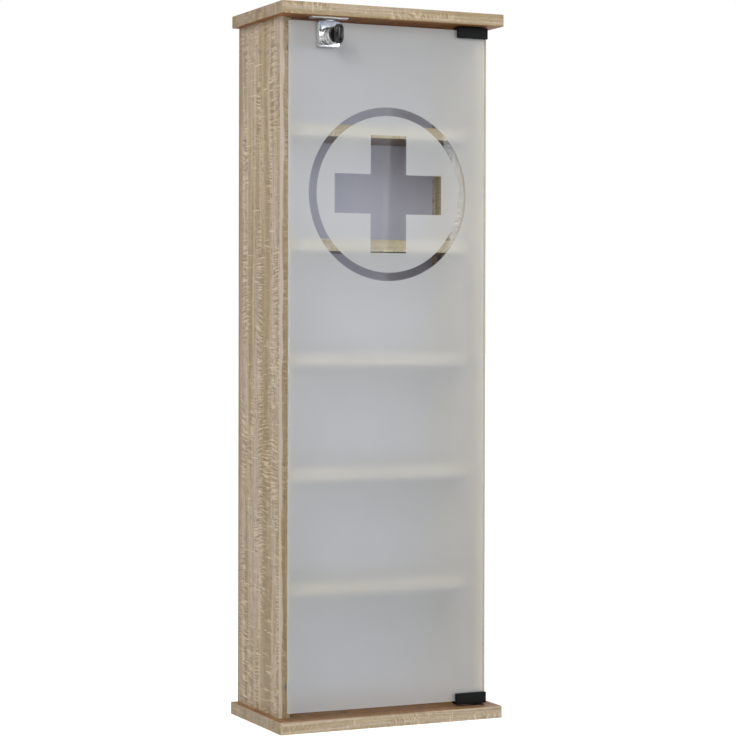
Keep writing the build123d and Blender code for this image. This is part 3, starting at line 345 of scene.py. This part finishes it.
def beech():
    """Turned beech: pale pink-brown, with short darker flecks along the dowel."""
    material, tree, shader = start_material("beech, turned")
    place = add(tree, "TexCoord").outputs["Object"]
    scale = [repeats(length) for length in (0.625, 0.625, 4.545)]
    stretched = add(tree, "VectorMath", {0: place, 1: scale}, operation="MULTIPLY")
    grain = add(tree, "TexNoise", {"Vector": stretched.outputs[0], "Scale": 1.0, "Detail": 2.0})
    colour = add(tree, "ValToRGB", {0: grain.outputs[0]}, stops=((0.35, "#a9794b"), (0.6, "#cda37a")))
    tree.links.new(colour.outputs[0], shader.inputs["Base Color"])
    gloss = add(tree, "MapRange", {0: grain.outputs[0], 1: LOW, 2: HIGH, 3: 0.55, 4: 0.7})
    tree.links.new(gloss.outputs[0], shader.inputs["Roughness"])
    relief = add(tree, "Bump", {"Strength": 0.3, "Distance": 0.1 * MM, "Height": grain.outputs[0]})
    tree.links.new(relief.outputs[0], shader.inputs["Normal"])
    return material


def plated_metal(name, colour, dull, rough, grain, stretch=(1.0, 1.0, 1.0)):
    """Metal with a plated or cast surface: grain is its pattern's size in millimetres, stretched by
    axis."""
    material, tree, shader = start_material(name)
    place = add(tree, "TexCoord").outputs["Object"]
    scale = [share * repeats(grain) for share in stretch]
    scaled = add(tree, "VectorMath", {0: place, 1: scale}, operation="MULTIPLY")
    pattern = add(tree, "TexNoise", {"Vector": scaled.outputs[0], "Scale": 1.0, "Detail": 3.0})
    stain = add(tree, "TexNoise", {"Vector": place, "Scale": repeats(6.25), "Detail": 2.0})
    worn = add(tree, "MapRange", {0: stain.outputs[0], 1: 0.4, 2: 0.75, 3: 0.0, 4: 0.6})
    tone = add(
        tree, "Mix", {0: worn.outputs[0], 6: linear(colour), 7: linear(dull)}, data_type="RGBA"
    )
    tree.links.new(tone.outputs[2], shader.inputs["Base Color"])
    shader.inputs["Metallic"].default_value = 1.0
    levels = {1: LOW, 2: HIGH, 3: rough * 0.8, 4: rough * 1.25}
    gloss = add(tree, "MapRange", {0: pattern.outputs[0], **levels})
    tree.links.new(gloss.outputs[0], shader.inputs["Roughness"])
    relief = add(tree, "Bump", {"Strength": rough * 0.5, "Distance": 0.04 * MM, "Height": pattern.outputs[0]})
    tree.links.new(relief.outputs[0], shader.inputs["Normal"])
    return material


zinc_plate = plated_metal("zinc plate, blue passivated", "#c3c6ca", "#a7a9aa", rough=0.3, grain=0.6)
zinc_casting = plated_metal("zinc, die cast", "#b3b2ae", "#94938f", rough=0.46, grain=0.5)
finish_with(zinc_plate, "cam_bolts")
finish_with(zinc_casting, "cam_locks")

MERGE = 0.01 * MM
SHARP = radians(35)      # edges over this angle stay sharp, or are the ones that are rounded
DOWEL_LENGTH = 30 * MM
DOWEL_CHAMFER = 1.0 * MM
DOWEL_TIP = 0.84         # radius of the chamfered end as a share of the dowel's
FLUTES = 16
FLUTE_FLOOR = 0.88       # radius at the bottom of a flute, likewise


def new_piece(shape, name, material):
    """A new piece from a bmesh, its doubles merged and its faces turned outwards."""
    bmesh.ops.remove_doubles(shape, verts=shape.verts, dist=MERGE)
    bmesh.ops.recalc_face_normals(shape, faces=shape.faces)
    mesh = bpy.data.meshes.new(name)
    shape.to_mesh(mesh)
    shape.free()
    mesh.materials.append(material)
    mesh.shade_smooth()
    mesh.set_sharp_from_angle(angle=SHARP)
    piece = bpy.data.objects.new(name, mesh)
    bpy.context.scene.collection.objects.link(piece)
    return piece


dowels_low, dowels_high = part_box("dowels")
dowel_radius = (dowels_high.y - dowels_low.y) / 2
rods = bmesh.new()
for x in (dowels_low.x + dowel_radius, dowels_high.x - dowel_radius):
    for foot in (dowels_low.z, dowels_high.z - DOWEL_LENGTH):
        disc = bmesh.ops.create_circle(rods, cap_ends=True, radius=dowel_radius, segments=3 * FLUTES)["verts"]
        for corner in disc[::3]:
            corner.co *= FLUTE_FLOOR
        bmesh.ops.translate(rods, verts=disc, vec=(x, (dowels_low.y + dowels_high.y) / 2, foot))
        end = [disc[0].link_faces[0]]
        shank = DOWEL_LENGTH - 2 * DOWEL_CHAMFER
        for rise, spread in (
            (0.0, DOWEL_TIP), (DOWEL_CHAMFER, 1 / DOWEL_TIP), (shank, 1.0), (DOWEL_CHAMFER, DOWEL_TIP)
        ):
            if rise:
                grown = bmesh.ops.extrude_face_region(rods, geom=end)["geom"]
                end = [part for part in grown if isinstance(part, bmesh.types.BMFace)]
            rim = list({corner for face in end for corner in face.verts})
            bmesh.ops.translate(rods, verts=rim, vec=(0, 0, rise))
            middle = Matrix.Translation(-end[0].calc_center_median())
            bmesh.ops.scale(rods, verts=rim, vec=(spread, spread, 1.0), space=middle)
dowel_rods = new_piece(rods, "dowel_rods", beech())
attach(dowel_rods, "cabinet")
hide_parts("dowels")

CAM_BORE = 7.5 * MM
CAM_RADIUS = 7.2 * MM
CAM_RISE = 0.5 * MM      # cam's face in front of the panel
CAM_DROP = 0.3 * MM      # rounding of its rim
CAM_RECESS = 0.9         # depth of its cross recess as a share of the rise
QUARTER = pi / 2


def turned(shape, profile, steps=32):
    """Spin a profile of (radius, height) pairs about the z axis."""
    points = [shape.verts.new((radius, 0.0, height)) for radius, height in profile]
    edges = [shape.edges.new(pair) for pair in zip(points, points[1:])]
    bmesh.ops.spin(
        shape, geom=points + edges, cent=(0, 0, 0), axis=(0, 0, 1), dvec=(0, 0, 0),
        angle=2 * pi, steps=steps, use_merge=True,
    )


def cross_recess(shape, height, rim, arm, slot, depth, steps=32):
    """Close a round head with a cross recess, tapered down: arm is half its span and slot half its width."""
    edge = bmesh.ops.create_circle(shape, radius=rim, segments=steps)["verts"]
    bmesh.ops.translate(shape, verts=edge, vec=(0, 0, height))
    loops = [list({line for corner in edge for line in corner.link_edges})]
    outline = ((arm, -slot), (arm, slot), (slot, slot), (slot, arm), (-slot, arm), (-slot, slot))
    for drop, share in ((0.0, 1.0), (depth, 0.6)):
        half = [Vector((x * share, y * share, height - drop)) for x, y in outline]
        corners = [shape.verts.new(place) for place in half]
        corners += [shape.verts.new((-place.x, -place.y, place.z)) for place in half]
        loops.append([shape.edges.new(pair) for pair in zip(corners, corners[1:] + corners[:1])])
    for outer, inner in zip(loops, loops[1:]):
        bmesh.ops.bridge_loops(shape, edges=outer + inner)
    bmesh.ops.contextual_create(shape, geom=loops[-1])


def place_copies(shape, places):
    """Copy the shape to each of the places, which are matrices."""
    pattern = shape.verts[:] + shape.edges[:] + shape.faces[:]
    for place in places:
        copied = bmesh.ops.duplicate(shape, geom=pattern)["geom"]
        corners = [part for part in copied if isinstance(part, bmesh.types.BMVert)]
        bmesh.ops.transform(shape, matrix=place, verts=corners)
    first = [part for part in pattern if isinstance(part, bmesh.types.BMVert)]
    bmesh.ops.delete(shape, geom=first, context="VERTS")


cams_low, cams_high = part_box("cam_locks")
cams = bmesh.new()
turned(cams, ((CAM_RADIUS, 0.0), (CAM_RADIUS, CAM_RISE - CAM_DROP), (CAM_RADIUS - CAM_DROP, CAM_RISE)))
cross_recess(
    cams, CAM_RISE, CAM_RADIUS - CAM_DROP, arm=3.6 * MM, slot=0.8 * MM, depth=CAM_RISE * CAM_RECESS
)
cam_depth = (cams_low.y + cams_high.y) / 2
place_copies(cams, [
    Matrix.Translation((side * panel_low.x, cam_depth, z)) @ Matrix.Rotation(-side * QUARTER, 4, "Y")
    for side in (-1, 1) for z in (cams_low.z + CAM_BORE, cams_high.z - CAM_BORE)
])
cam_faces = new_piece(cams, "cam_faces", zinc_casting)
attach(cam_faces, "cabinet")

# Shelf pins. Each is an angled steel seat on a turned peg, nickel plated, and four of them pushed
# into the panels' bores carry a shelf.

nickel_plate = plated_metal("nickel plate, bright", "#cfccc4", "#b9b5ab", rough=0.2, grain=0.5)


def merged_copy(node, name):
    """A new piece with a frame piece's shape, its doubles merged and its flat faces joined."""
    shape = bmesh.new()
    shape.from_mesh(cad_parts[node].data)
    bmesh.ops.remove_doubles(shape, verts=shape.verts, dist=MERGE)
    nearly_flat = radians(0.5)
    bmesh.ops.dissolve_limit(shape, angle_limit=nearly_flat, verts=shape.verts, edges=shape.edges)
    mesh = bpy.data.meshes.new(name)
    shape.to_mesh(mesh)
    shape.free()
    piece = bpy.data.objects.new(name, mesh)
    bpy.context.scene.collection.objects.link(piece)
    return piece


def softened(node, body, material, width):
    """Stand in for a frame piece with a copy whose sharp edges are rounded to the width."""
    piece = merged_copy(node, node + "_finished")
    piece.data.materials.append(material)
    piece.data.shade_smooth()
    rounding = piece.modifiers.new("rounding", "BEVEL")
    rounding.width = width
    rounding.segments = 3
    rounding.limit_method = "ANGLE"
    rounding.angle_limit = SHARP
    rounding.harden_normals = True
    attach(piece, body)
    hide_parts(node)
    return piece


softened("shelf_pins", "cabinet", nickel_plate, 0.3 * MM)

# Wall hangers. Keyhole plates of zinc-plated sheet let into the panels' rear edges, with two
# countersunk screws each.

SCREW_LENGTH = 13 * MM
SCREW_RADIUS = 1.5 * MM
SCREW_CORE = 0.72 * SCREW_RADIUS     # radius between the threads
SCREW_HEAD = 2.9 * MM
SCREW_RIM = 0.15 * MM                # straight side of the head
THREAD_PITCH = 1.2 * MM
THREAD_FLANK = 0.35 * THREAD_PITCH   # steep side of the thread


def wood_screws(name, material, places, node):
    """Countersunk wood screws with a cross recess, at the places of a frame piece's screws."""
    shape = bmesh.new()
    neck = SCREW_RADIUS - SCREW_HEAD
    profile = [(SCREW_HEAD, 0.0), (SCREW_HEAD, -SCREW_RIM), (SCREW_RADIUS, neck - SCREW_RIM)]
    turn = profile[-1][1] - THREAD_PITCH
    while turn > 3 * SCREW_RADIUS - SCREW_LENGTH:
        profile += [(SCREW_CORE, turn + THREAD_FLANK), (SCREW_RADIUS, turn)]
        turn -= THREAD_PITCH
    profile += [(SCREW_CORE, turn), (0.0, -SCREW_LENGTH)]
    turned(shape, profile)
    cross_recess(shape, 0.0, SCREW_HEAD, arm=1.7 * MM, slot=0.35 * MM, depth=1.0 * MM)
    place_copies(shape, places)
    piece = new_piece(shape, name, material)
    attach(piece, "cabinet")
    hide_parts(node)


softened("hanger_plates", "cabinet", zinc_plate, 0.2 * MM)
screws_low, screws_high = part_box("hanger_screws")
wood_screws("hanger_screws_crossed", zinc_plate, [
    Matrix.Translation((x, screws_high.y, z)) @ Matrix.Rotation(-QUARTER, 4, "X")
    for x in (screws_low.x + SCREW_HEAD, screws_high.x - SCREW_HEAD)
    for z in (screws_low.z + SCREW_HEAD, screws_high.z - SCREW_HEAD)
], "hanger_screws")

# Bumpers. Clear moulded polyurethane domes, stuck on the left panel's front edge where the glass
# closes.


def clear_rubber():
    """Clear polyurethane: soft gloss, slightly milky."""
    material, tree, shader = start_material("polyurethane, clear moulded")
    place = add(tree, "TexCoord").outputs["Object"]
    cloud = add(tree, "TexNoise", {"Vector": place, "Scale": repeats(1.429), "Detail": 2.0})
    colour = add(tree, "ValToRGB", {0: cloud.outputs[0]}, stops=((LOW, "#dfe2e0"), (HIGH, "#f1f3f1")))
    tree.links.new(colour.outputs[0], shader.inputs["Base Color"])
    shader.inputs["Transmission Weight"].default_value = 0.8
    shader.inputs["IOR"].default_value = 1.49
    gloss = add(tree, "MapRange", {0: cloud.outputs[0], 1: LOW, 2: HIGH, 3: 0.12, 4: 0.25})
    tree.links.new(gloss.outputs[0], shader.inputs["Roughness"])
    return material


bumpers_low, bumpers_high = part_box("door_bumpers")
bumper_radius = (bumpers_high.x - bumpers_low.x) / 2
bumper_rise = bumpers_high.y - bumpers_low.y
domes = bmesh.new()
DOME = ((0.0, 0.0), (1.0, 0.0), (1.0, 0.62), (0.96, 0.78), (0.84, 0.91), (0.6, 0.98), (0.3, 1.0), (0.0, 1.0))
turned(domes, [(bumper_radius * share, bumper_rise * rise) for share, rise in DOME])
place_copies(domes, [
    Matrix.Translation((bumpers_low.x + bumper_radius, bumpers_high.y, z)) @ Matrix.Rotation(QUARTER, 4, "X")
    for z in (bumpers_low.z + bumper_radius, bumpers_high.z - bumper_radius)
])
bumper_domes = new_piece(domes, "bumper_domes", clear_rubber())
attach(bumper_domes, "cabinet")
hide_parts("door_bumpers")

# Door pane. Toughened float glass, sand-blasted in front but for the ring and the cross. The
# blasting and the ground edges are milky and blur what is behind them, and the rest is clear.


def blasted_glass():
    """Sand-blasted glass: a milky skin that scatters half of the light it passes."""
    material, tree, shader = start_material("glass, sand blasted")
    place = add(tree, "TexCoord").outputs["Object"]
    grit = add(tree, "TexNoise", {"Vector": place, "Scale": repeats(0.3846), "Detail": 2.0})
    cloud = add(tree, "TexNoise", {"Vector": place, "Scale": repeats(111.1), "Detail": 2.0})
    colour = add(tree, "ValToRGB", {0: cloud.outputs[0]}, stops=((LOW, "#ebedec"), (HIGH, "#f0f1f0")))
    tree.links.new(colour.outputs[0], shader.inputs["Base Color"])
    shader.inputs["Transmission Weight"].default_value = 0.62
    shader.inputs["IOR"].default_value = 1.52
    gloss = add(tree, "MapRange", {0: grit.outputs[0], 1: LOW, 2: HIGH, 3: 0.4, 4: 0.5})
    tree.links.new(gloss.outputs[0], shader.inputs["Roughness"])
    relief = add(tree, "Bump", {"Strength": 0.15, "Distance": 0.03 * MM, "Height": grit.outputs[0]})
    tree.links.new(relief.outputs[0], shader.inputs["Normal"])
    let_lamps_in(tree, shader, "#cfd1d2")
    return material


def clear_glass():
    """Float glass: faintly green, with a trace of wiping marks in its gloss."""
    material, tree, shader = start_material("float glass, polished")
    place = add(tree, "TexCoord").outputs["Object"]
    smear = add(tree, "TexNoise", {"Vector": place, "Scale": repeats(33.33), "Detail": 4.0})
    colour = add(tree, "ValToRGB", {0: smear.outputs[0]}, stops=((LOW, "#f3f7f8"), (HIGH, "#f7fafb")))
    tree.links.new(colour.outputs[0], shader.inputs["Base Color"])
    shader.inputs["Transmission Weight"].default_value = 1.0
    shader.inputs["IOR"].default_value = 1.52
    gloss = add(tree, "MapRange", {0: smear.outputs[0], 1: LOW, 2: HIGH, 3: 0.0, 4: 0.03})
    tree.links.new(gloss.outputs[0], shader.inputs["Roughness"])
    let_lamps_in(tree, shader, "#eef3f1")
    return material


def let_lamps_in(tree, shader, tint):
    """Let the lamps light what is behind the glass, dimmed by its tint."""
    path = add(tree, "LightPath")
    passed = add(tree, "BsdfTransparent", {0: linear(tint)})
    either = add(
        tree, "MixShader", {0: path.outputs["Is Shadow Ray"], 1: shader.outputs[0], 2: passed.outputs[0]}
    )
    tree.links.new(either.outputs[0], tree.nodes["Material Output"].inputs["Surface"])


pane = merged_copy("door_glass", "door_pane")
pane_low, pane_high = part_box("door_glass")
SIGN_PLACE = Vector((0.0, 697.0 * MM))       # middle of the cross, across and up
SIGN_RADIUS = 115.0 * MM
SURFACE = 0.05 * MM      # how near to the pane's front or rear a face of its surface lies
pane.data.materials.append(clear_glass())
pane.data.materials.append(blasted_glass())
for face in pane.data.polygons:
    corners = [pane.data.vertices[index].co for index in face.vertices]
    from_sign = max((Vector((corner.x, corner.z)) - SIGN_PLACE).length for corner in corners)
    from_faces = min(abs(face.center.y - pane_low.y), abs(face.center.y - pane_high.y))
    is_clear = from_sign < SIGN_RADIUS and from_faces < SURFACE
    is_rear = face.normal.y >= 0.9
    face.material_index = int(not is_clear and not is_rear)
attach(pane, "door")
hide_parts("door_glass")

# Hinge clamps. Zinc castings with a black powder coat, each with a soft liner and a pressure pad
# on the glass, two black grub screws behind and a steel pin in a nylon bush.


def black_powder_coat():
    """Matt black powder coat: a fine orange peel, greyer where hands rub it."""
    material, tree, shader = start_material("powder coat, matt black")
    place = add(tree, "TexCoord").outputs["Object"]
    peel = add(tree, "TexNoise", {"Vector": place, "Scale": repeats(0.6667), "Detail": 2.0})
    rub = add(tree, "TexNoise", {"Vector": place, "Scale": repeats(11.11), "Detail": 3.0})
    colour = add(tree, "ValToRGB", {0: rub.outputs[0]}, stops=((0.35, "#0b0b0a"), (0.7, "#10100f")))
    tree.links.new(colour.outputs[0], shader.inputs["Base Color"])
    gloss = add(tree, "MapRange", {0: rub.outputs[0], 1: LOW, 2: HIGH, 3: 0.5, 4: 0.62})
    tree.links.new(gloss.outputs[0], shader.inputs["Roughness"])
    shader.inputs["Specular IOR Level"].default_value = 0.18
    relief = add(tree, "Bump", {"Strength": 0.25, "Distance": 0.05 * MM, "Height": peel.outputs[0]})
    tree.links.new(relief.outputs[0], shader.inputs["Normal"])
    return material


def moulded_plastic(name, low, high, rough):
    """Moulded plastic: an even colour with a fine spark-eroded grain."""
    material, tree, shader = start_material(name)
    place = add(tree, "TexCoord").outputs["Object"]
    grain = add(tree, "TexNoise", {"Vector": place, "Scale": repeats(0.4545), "Detail": 2.0})
    cloud = add(tree, "TexNoise", {"Vector": place, "Scale": repeats(8.333), "Detail": 2.0})
    colour = add(tree, "ValToRGB", {0: cloud.outputs[0]}, stops=((0.35, low), (0.7, high)))
    tree.links.new(colour.outputs[0], shader.inputs["Base Color"])
    levels = {1: LOW, 2: HIGH, 3: rough * 0.85, 4: rough * 1.15}
    gloss = add(tree, "MapRange", {0: grain.outputs[0], **levels})
    tree.links.new(gloss.outputs[0], shader.inputs["Roughness"])
    relief = add(tree, "Bump", {"Strength": 0.15, "Distance": 0.03 * MM, "Height": grain.outputs[0]})
    tree.links.new(relief.outputs[0], shader.inputs["Normal"])
    return material


powder_coat = black_powder_coat()
soft_sheet = moulded_plastic("soft PVC sheet, black", "#232323", "#2c2c2c", rough=0.55)
black_oxide = plated_metal("steel, black oxide", "#3a3a3b", "#2b2b2c", rough=0.4, grain=0.4)
black_nylon = moulded_plastic("nylon, black", "#17171a", "#1e1e20", rough=0.45)
for clamp in ("upper_hinge_clamp", "lower_hinge_clamp"):
    softened(clamp, "door", powder_coat, 0.35 * MM)
finish_with(soft_sheet, "hinge_liners", "hinge_pads")
finish_with(black_oxide, "hinge_grub_screws")
finish_with(zinc_plate, "pivot_pins")
finish_with(black_nylon, "pivot_bushes", "thrust_washer")

# Strike plate. Nickel-plated steel under the top board, with a slot for the bolt and two
# countersunk screws.

brushed_nickel = plated_metal(
    "nickel plate, brushed", "#ebebe8", "#dddcd8", rough=0.52, grain=0.25, stretch=(0.05, 1.0, 1.0)
)
softened("strike_plate", "cabinet", brushed_nickel, 0.4 * MM)
screws_low, screws_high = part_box("strike_screws")
wood_screws("strike_screws_crossed", nickel_plate, [
    Matrix.Translation((x, (screws_low.y + screws_high.y) / 2, screws_low.z)) @ Matrix.Rotation(pi, 4, "X")
    for x in (screws_low.x + SCREW_HEAD, screws_high.x - SCREW_HEAD)
], "strike_screws")

# Lock case. A chrome-plated zinc casting that grips the edge of the glass: the housing in front,
# the neck over the edge and the jaw behind, drawn tight by two grub screws on a pad.


def chrome_plate(name, ripple_height, rough):
    """Bright chrome over the slow ripple that polishing leaves, its height in metres. Rough is its
    mean roughness."""
    material, tree, shader = start_material(name)
    place = add(tree, "TexCoord").outputs["Object"]
    ripple = add(tree, "TexNoise", {"Vector": place, "Scale": repeats(14.286), "Detail": 0.0})
    stain = add(tree, "TexNoise", {"Vector": place, "Scale": repeats(3.333), "Detail": 2.0})
    colour = add(tree, "ValToRGB", {0: stain.outputs[0]}, stops=((0.35, "#dcdddf"), (0.7, "#e4e5e6")))
    tree.links.new(colour.outputs[0], shader.inputs["Base Color"])
    shader.inputs["Metallic"].default_value = 1.0
    levels = {1: LOW, 2: HIGH, 3: rough * 0.7, 4: rough * 1.3}
    gloss = add(tree, "MapRange", {0: stain.outputs[0], **levels})
    tree.links.new(gloss.outputs[0], shader.inputs["Roughness"])
    relief = add(tree, "Bump", {"Strength": 1.0, "Distance": ripple_height, "Height": ripple.outputs[0]})
    tree.links.new(relief.outputs[0], shader.inputs["Normal"])
    return material


cast_chrome = chrome_plate("chrome plate, polished casting", ripple_height=0.2 * MM, rough=0.17)
softened("lock_case", "door", cast_chrome, 0.4 * MM)
finish_with(zinc_plate, "lock_cover")
finish_with(soft_sheet, "lock_liner", "lock_pad")
finish_with(black_oxide, "lock_grub_screws")

# Cylinder, plug and bolt. The cylinder is turned and chrome plated, the plug is brass with a
# black face cap, a spring clip and five wafers, and the bolt is plated steel.

brass = plated_metal(
    "brass, turned", "#caa65a", "#b28f49", rough=0.24, grain=0.3, stretch=(1.0, 0.1, 1.0)
)
black_plastic = moulded_plastic("ABS, black", "#0b0b0b", "#111111", rough=0.32)
turned_chrome = chrome_plate("chrome plate, turned", ripple_height=0.04 * MM, rough=0.07)
softened("lock_cylinder", "door", turned_chrome, 0.25 * MM)

# Radius and height in millimetres over the cylinder's own and over the case's front: two crowned
# rings with a groove between them
RINGS = (
    (-0.4, 1.0), (0.35, 1.0), (0.65, 1.8), (0.8, 4.4), (0.65, 7.2), (0.3, 8.2), (-0.42, 8.4), (-0.42, 9.5),
    (0.15, 9.8), (0.45, 10.9), (0.55, 14.4), (0.4, 17.8), (0.0, 19.4), (-0.45, 19.9), (-0.45, 1.0),
)
cylinder_low, cylinder_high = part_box("lock_cylinder")
case_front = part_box("lock_case")[0].y
cylinder_radius = (cylinder_high.x - cylinder_low.x) / 2
sleeve = bmesh.new()
turned(sleeve, [(cylinder_radius + radius * MM, height * MM) for radius, height in RINGS], steps=48)
axis_place = (cylinder_low.x + cylinder_radius, case_front, cylinder_low.z + cylinder_radius)
place_copies(sleeve, [Matrix.Translation(axis_place) @ Matrix.Rotation(QUARTER, 4, "X")])
cylinder_rings = new_piece(sleeve, "cylinder_rings", turned_chrome)
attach(cylinder_rings, "door")
finish_with(brass, "lock_plug", "lock_wafers")
softened("plug_cap", "plug", black_plastic, 0.25 * MM)
finish_with(zinc_plate, "plug_clip", "lock_bolt")

# Key. A cut blade of nickel silver moulded into a black plastic head with a ring hole. The head
# is as full as a moulded one is, a little fuller than the frame's.

FULLNESS = 1.45          # thickness of the head as a share of the frame's
finish_with(nickel_plate, "key_blade")
key_bow = softened("key_head", "key", black_plastic, 1.3 * MM)
bow_low, bow_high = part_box("key_head")
bow_middle = (bow_low.x + bow_high.x) / 2
for corner in key_bow.data.vertices:
    corner.co.x = bow_middle + FULLNESS * (corner.co.x - bow_middle)

# Floor and surroundings. A pale floor under a white room. Both show white to the camera and
# through the glass, and light the cabinet at a plain level. Gloss mirrors a studio with darker
# screens in front of the cabinet.

FLOOR_SIZE = 60.0
FLOOR_GLOW = 0.72        # with the light that falls on the floor this comes to white
CLOTH = ((0, -0.1, 1.3), (1, -1.4, 1.1))     # axis, middle and half width


def background_rays(tree, path):
    """1 for the rays that show the background itself: the camera's, and those in gloss and glass."""
    seen = path.outputs["Is Camera Ray"]
    for ray in ("Is Glossy Ray", "Is Transmission Ray"):
        seen = add(tree, "Math", {0: seen, 1: path.outputs[ray]}, operation="MAXIMUM").outputs[0]
    return seen


def pale_floor():
    """Pale floor: matt, and bright enough in itself to meet the white room without a line."""
    material, tree, shader = start_material("floor, pale")
    place = add(tree, "TexCoord").outputs["Object"]
    mottle = add(tree, "TexNoise", {"Vector": place, "Scale": repeats(333.3), "Detail": 2.0})
    colour = add(tree, "ValToRGB", {0: mottle.outputs[0]}, stops=((LOW, "#d9d9d8"), (HIGH, "#dcdcdb")))
    tree.links.new(colour.outputs[0], shader.inputs["Base Color"])
    shader.inputs["Roughness"].default_value = 0.9
    shader.inputs["Specular IOR Level"].default_value = 0.0
    path = add(tree, "LightPath")
    glow = add(tree, "Math", {0: background_rays(tree, path), 1: FLOOR_GLOW}, operation="MULTIPLY")
    shader.inputs["Emission Color"].default_value = linear("#ffffff")
    tree.links.new(glow.outputs[0], shader.inputs["Emission Strength"])

    # A dark cloth in front, which only shows in gloss, gives the chrome its dark side
    parts = add(tree, "SeparateXYZ", {0: place})
    share = add(tree, "Math", {0: path.outputs["Glossy Depth"], 1: 0.5}, operation="GREATER_THAN").outputs[0]
    share = add(tree, "Math", {0: share, 1: path.outputs["Is Glossy Ray"]}, operation="MULTIPLY").outputs[0]
    for axis, middle, half_width in CLOTH:
        within = add(
            tree, "Math", {0: parts.outputs[axis], 1: middle, 2: half_width}, operation="COMPARE"
        )
        share = add(tree, "Math", {0: share, 1: within.outputs[0]}, operation="MULTIPLY").outputs[0]
    cloth = add(tree, "Emission", {0: linear("#2b2d31"), 1: 1.0})
    mirrored = add(tree, "MixShader", {0: share, 1: shader.outputs[0], 2: cloth.outputs[0]})
    tree.links.new(mirrored.outputs[0], tree.nodes["Material Output"].inputs["Surface"])
    return material


floor_shape = bmesh.new()
bmesh.ops.create_grid(floor_shape, x_segments=2, y_segments=2, size=FLOOR_SIZE / 2)
floor_mesh = bpy.data.meshes.new("floor")
floor_shape.to_mesh(floor_mesh)
floor_shape.free()
floor = bpy.data.objects.new("floor", floor_mesh)
floor.data.materials.append(pale_floor())
bpy.context.scene.collection.objects.link(floor)

ROOM_LIGHT = 0.5
room = bpy.data.worlds.new("white room")
bpy.context.scene.world = room
room.use_nodes = True
sky = room.node_tree
path = add(sky, "LightPath")
first = add(sky, "Math", {0: path.outputs["Diffuse Depth"], 1: 0.5}, operation="LESS_THAN")
seen = add(sky, "Math", {0: background_rays(sky, path), 1: first.outputs[0]}, operation="MULTIPLY")
heading = add(sky, "SeparateXYZ", {0: add(sky, "TexCoord").outputs["Generated"]})
across = add(sky, "MapRange", {0: heading.outputs[0], 1: -1.0, 2: 1.0, 3: 0.0, 4: 1.0})
studio = add(
    sky, "ValToRGB", {0: across.outputs[0]},
    stops=(
        (0.0, "#8a8f96"), (0.12, "#8a8f96"), (0.19, "#ffffff"), (0.4, "#ffffff"), (0.43, "#141518"),
        (0.62, "#141518"), (0.65, "#8fa0b4"), (0.69, "#c4c7d6"), (0.75, "#dfe6ec"), (0.8, "#3a3d42"),
        (0.93, "#3a3d42"), (1.0, "#8a8f96"),
    ),
)
# A dark panel with a white edge on the right of the studio, which the clear glass reflects
ahead = studio.outputs[0]
for middle, half_width, colour in ((0.4364, 0.0115, "#1c1e24"), (0.4238, 0.0012, "#ffffff")):
    within = add(sky, "Math", {0: heading.outputs[0], 1: middle, 2: half_width}, operation="COMPARE")
    ahead = add(sky, "Mix", {0: within.outputs[0], 6: ahead, 7: linear(colour)}, data_type="RGBA").outputs[2]
behind = add(sky, "MapRange", {0: heading.outputs[1], 1: -0.15, 2: 0.1, 3: 0.0, 4: 1.0})
# The studio shows in gloss alone, and the camera sees white from every side, also through glass
straight = add(sky, "Math", {0: path.outputs["Glossy Depth"], 1: 0.5}, operation="LESS_THAN")
plain = add(sky, "Math", {0: behind.outputs[0], 1: straight.outputs[0]}, operation="MAXIMUM")
around = add(sky, "Mix", {0: plain.outputs[0], 6: ahead, 7: linear("#ffffff")}, data_type="RGBA")
white = add(sky, "Background", {0: around.outputs[2], 1: 1.0})
soft = add(sky, "Background", {0: linear("#ffffff"), 1: ROOM_LIGHT})
either = add(sky, "MixShader", {0: seen.outputs[0], 1: soft.outputs[0], 2: white.outputs[0]})
sky.links.new(either.outputs[0], sky.nodes["World Output"].inputs["Surface"])

# Lamps. One large softbox stands in front on the left, and a weaker, wider and bluer one on the
# right. Both look at the middle of the cabinet.

LAMP_AIM = Vector((0.0, 0.0, 0.5))
for name, place, power, width, height, tint in (
    ("softbox left", (-2.3, -2.6, 2.1), 62.0, 1.6, 1.6, (1.0, 1.0, 1.0)),
    ("softbox right", (2.62, -2.43, 1.15), 36.0, 2.6, 1.4, (0.86, 0.94, 1.0)),
):
    lamp = bpy.data.lights.new(name, "AREA")
    lamp.shape = "RECTANGLE"
    lamp.size = width
    lamp.size_y = height
    lamp.energy = power
    lamp.color = tint
    box = bpy.data.objects.new(name, lamp)
    box.location = place
    aim = LAMP_AIM - Vector(place)
    box.rotation_euler = aim.to_track_quat("-Z", "Y").to_euler()
    bpy.context.scene.collection.objects.link(box)

# Camera. It stands where the photographer stood, nearly level with the cabinet's middle and 25
# degrees to the left. The place is worked out from the corners of the boards.

LENS = 109.47
SENSOR = 36.0
CAMERA_PLACE = (-1.2523, -2.7317, 0.5293)
YAW = radians(24.664)
PITCH = radians(-0.406)
ROLL = radians(0.137)
PICTURE = 736
HORIZON_ROW = 337.76     # row of the picture that the optical axis meets

view = bpy.data.cameras.new("camera")
view.sensor_width = SENSOR
view.lens = LENS
view.shift_y = (HORIZON_ROW - PICTURE / 2) / PICTURE
camera = bpy.data.objects.new("camera", view)
turn = Matrix.Rotation(-YAW, 4, "Z") @ Matrix.Rotation(pi / 2 + PITCH, 4, "X") @ Matrix.Rotation(ROLL, 4, "Z")
camera.matrix_world = Matrix.Translation(CAMERA_PLACE) @ turn
bpy.context.scene.collection.objects.link(camera)
bpy.context.scene.camera = camera
bpy.context.scene.view_settings.view_transform = "Standard"
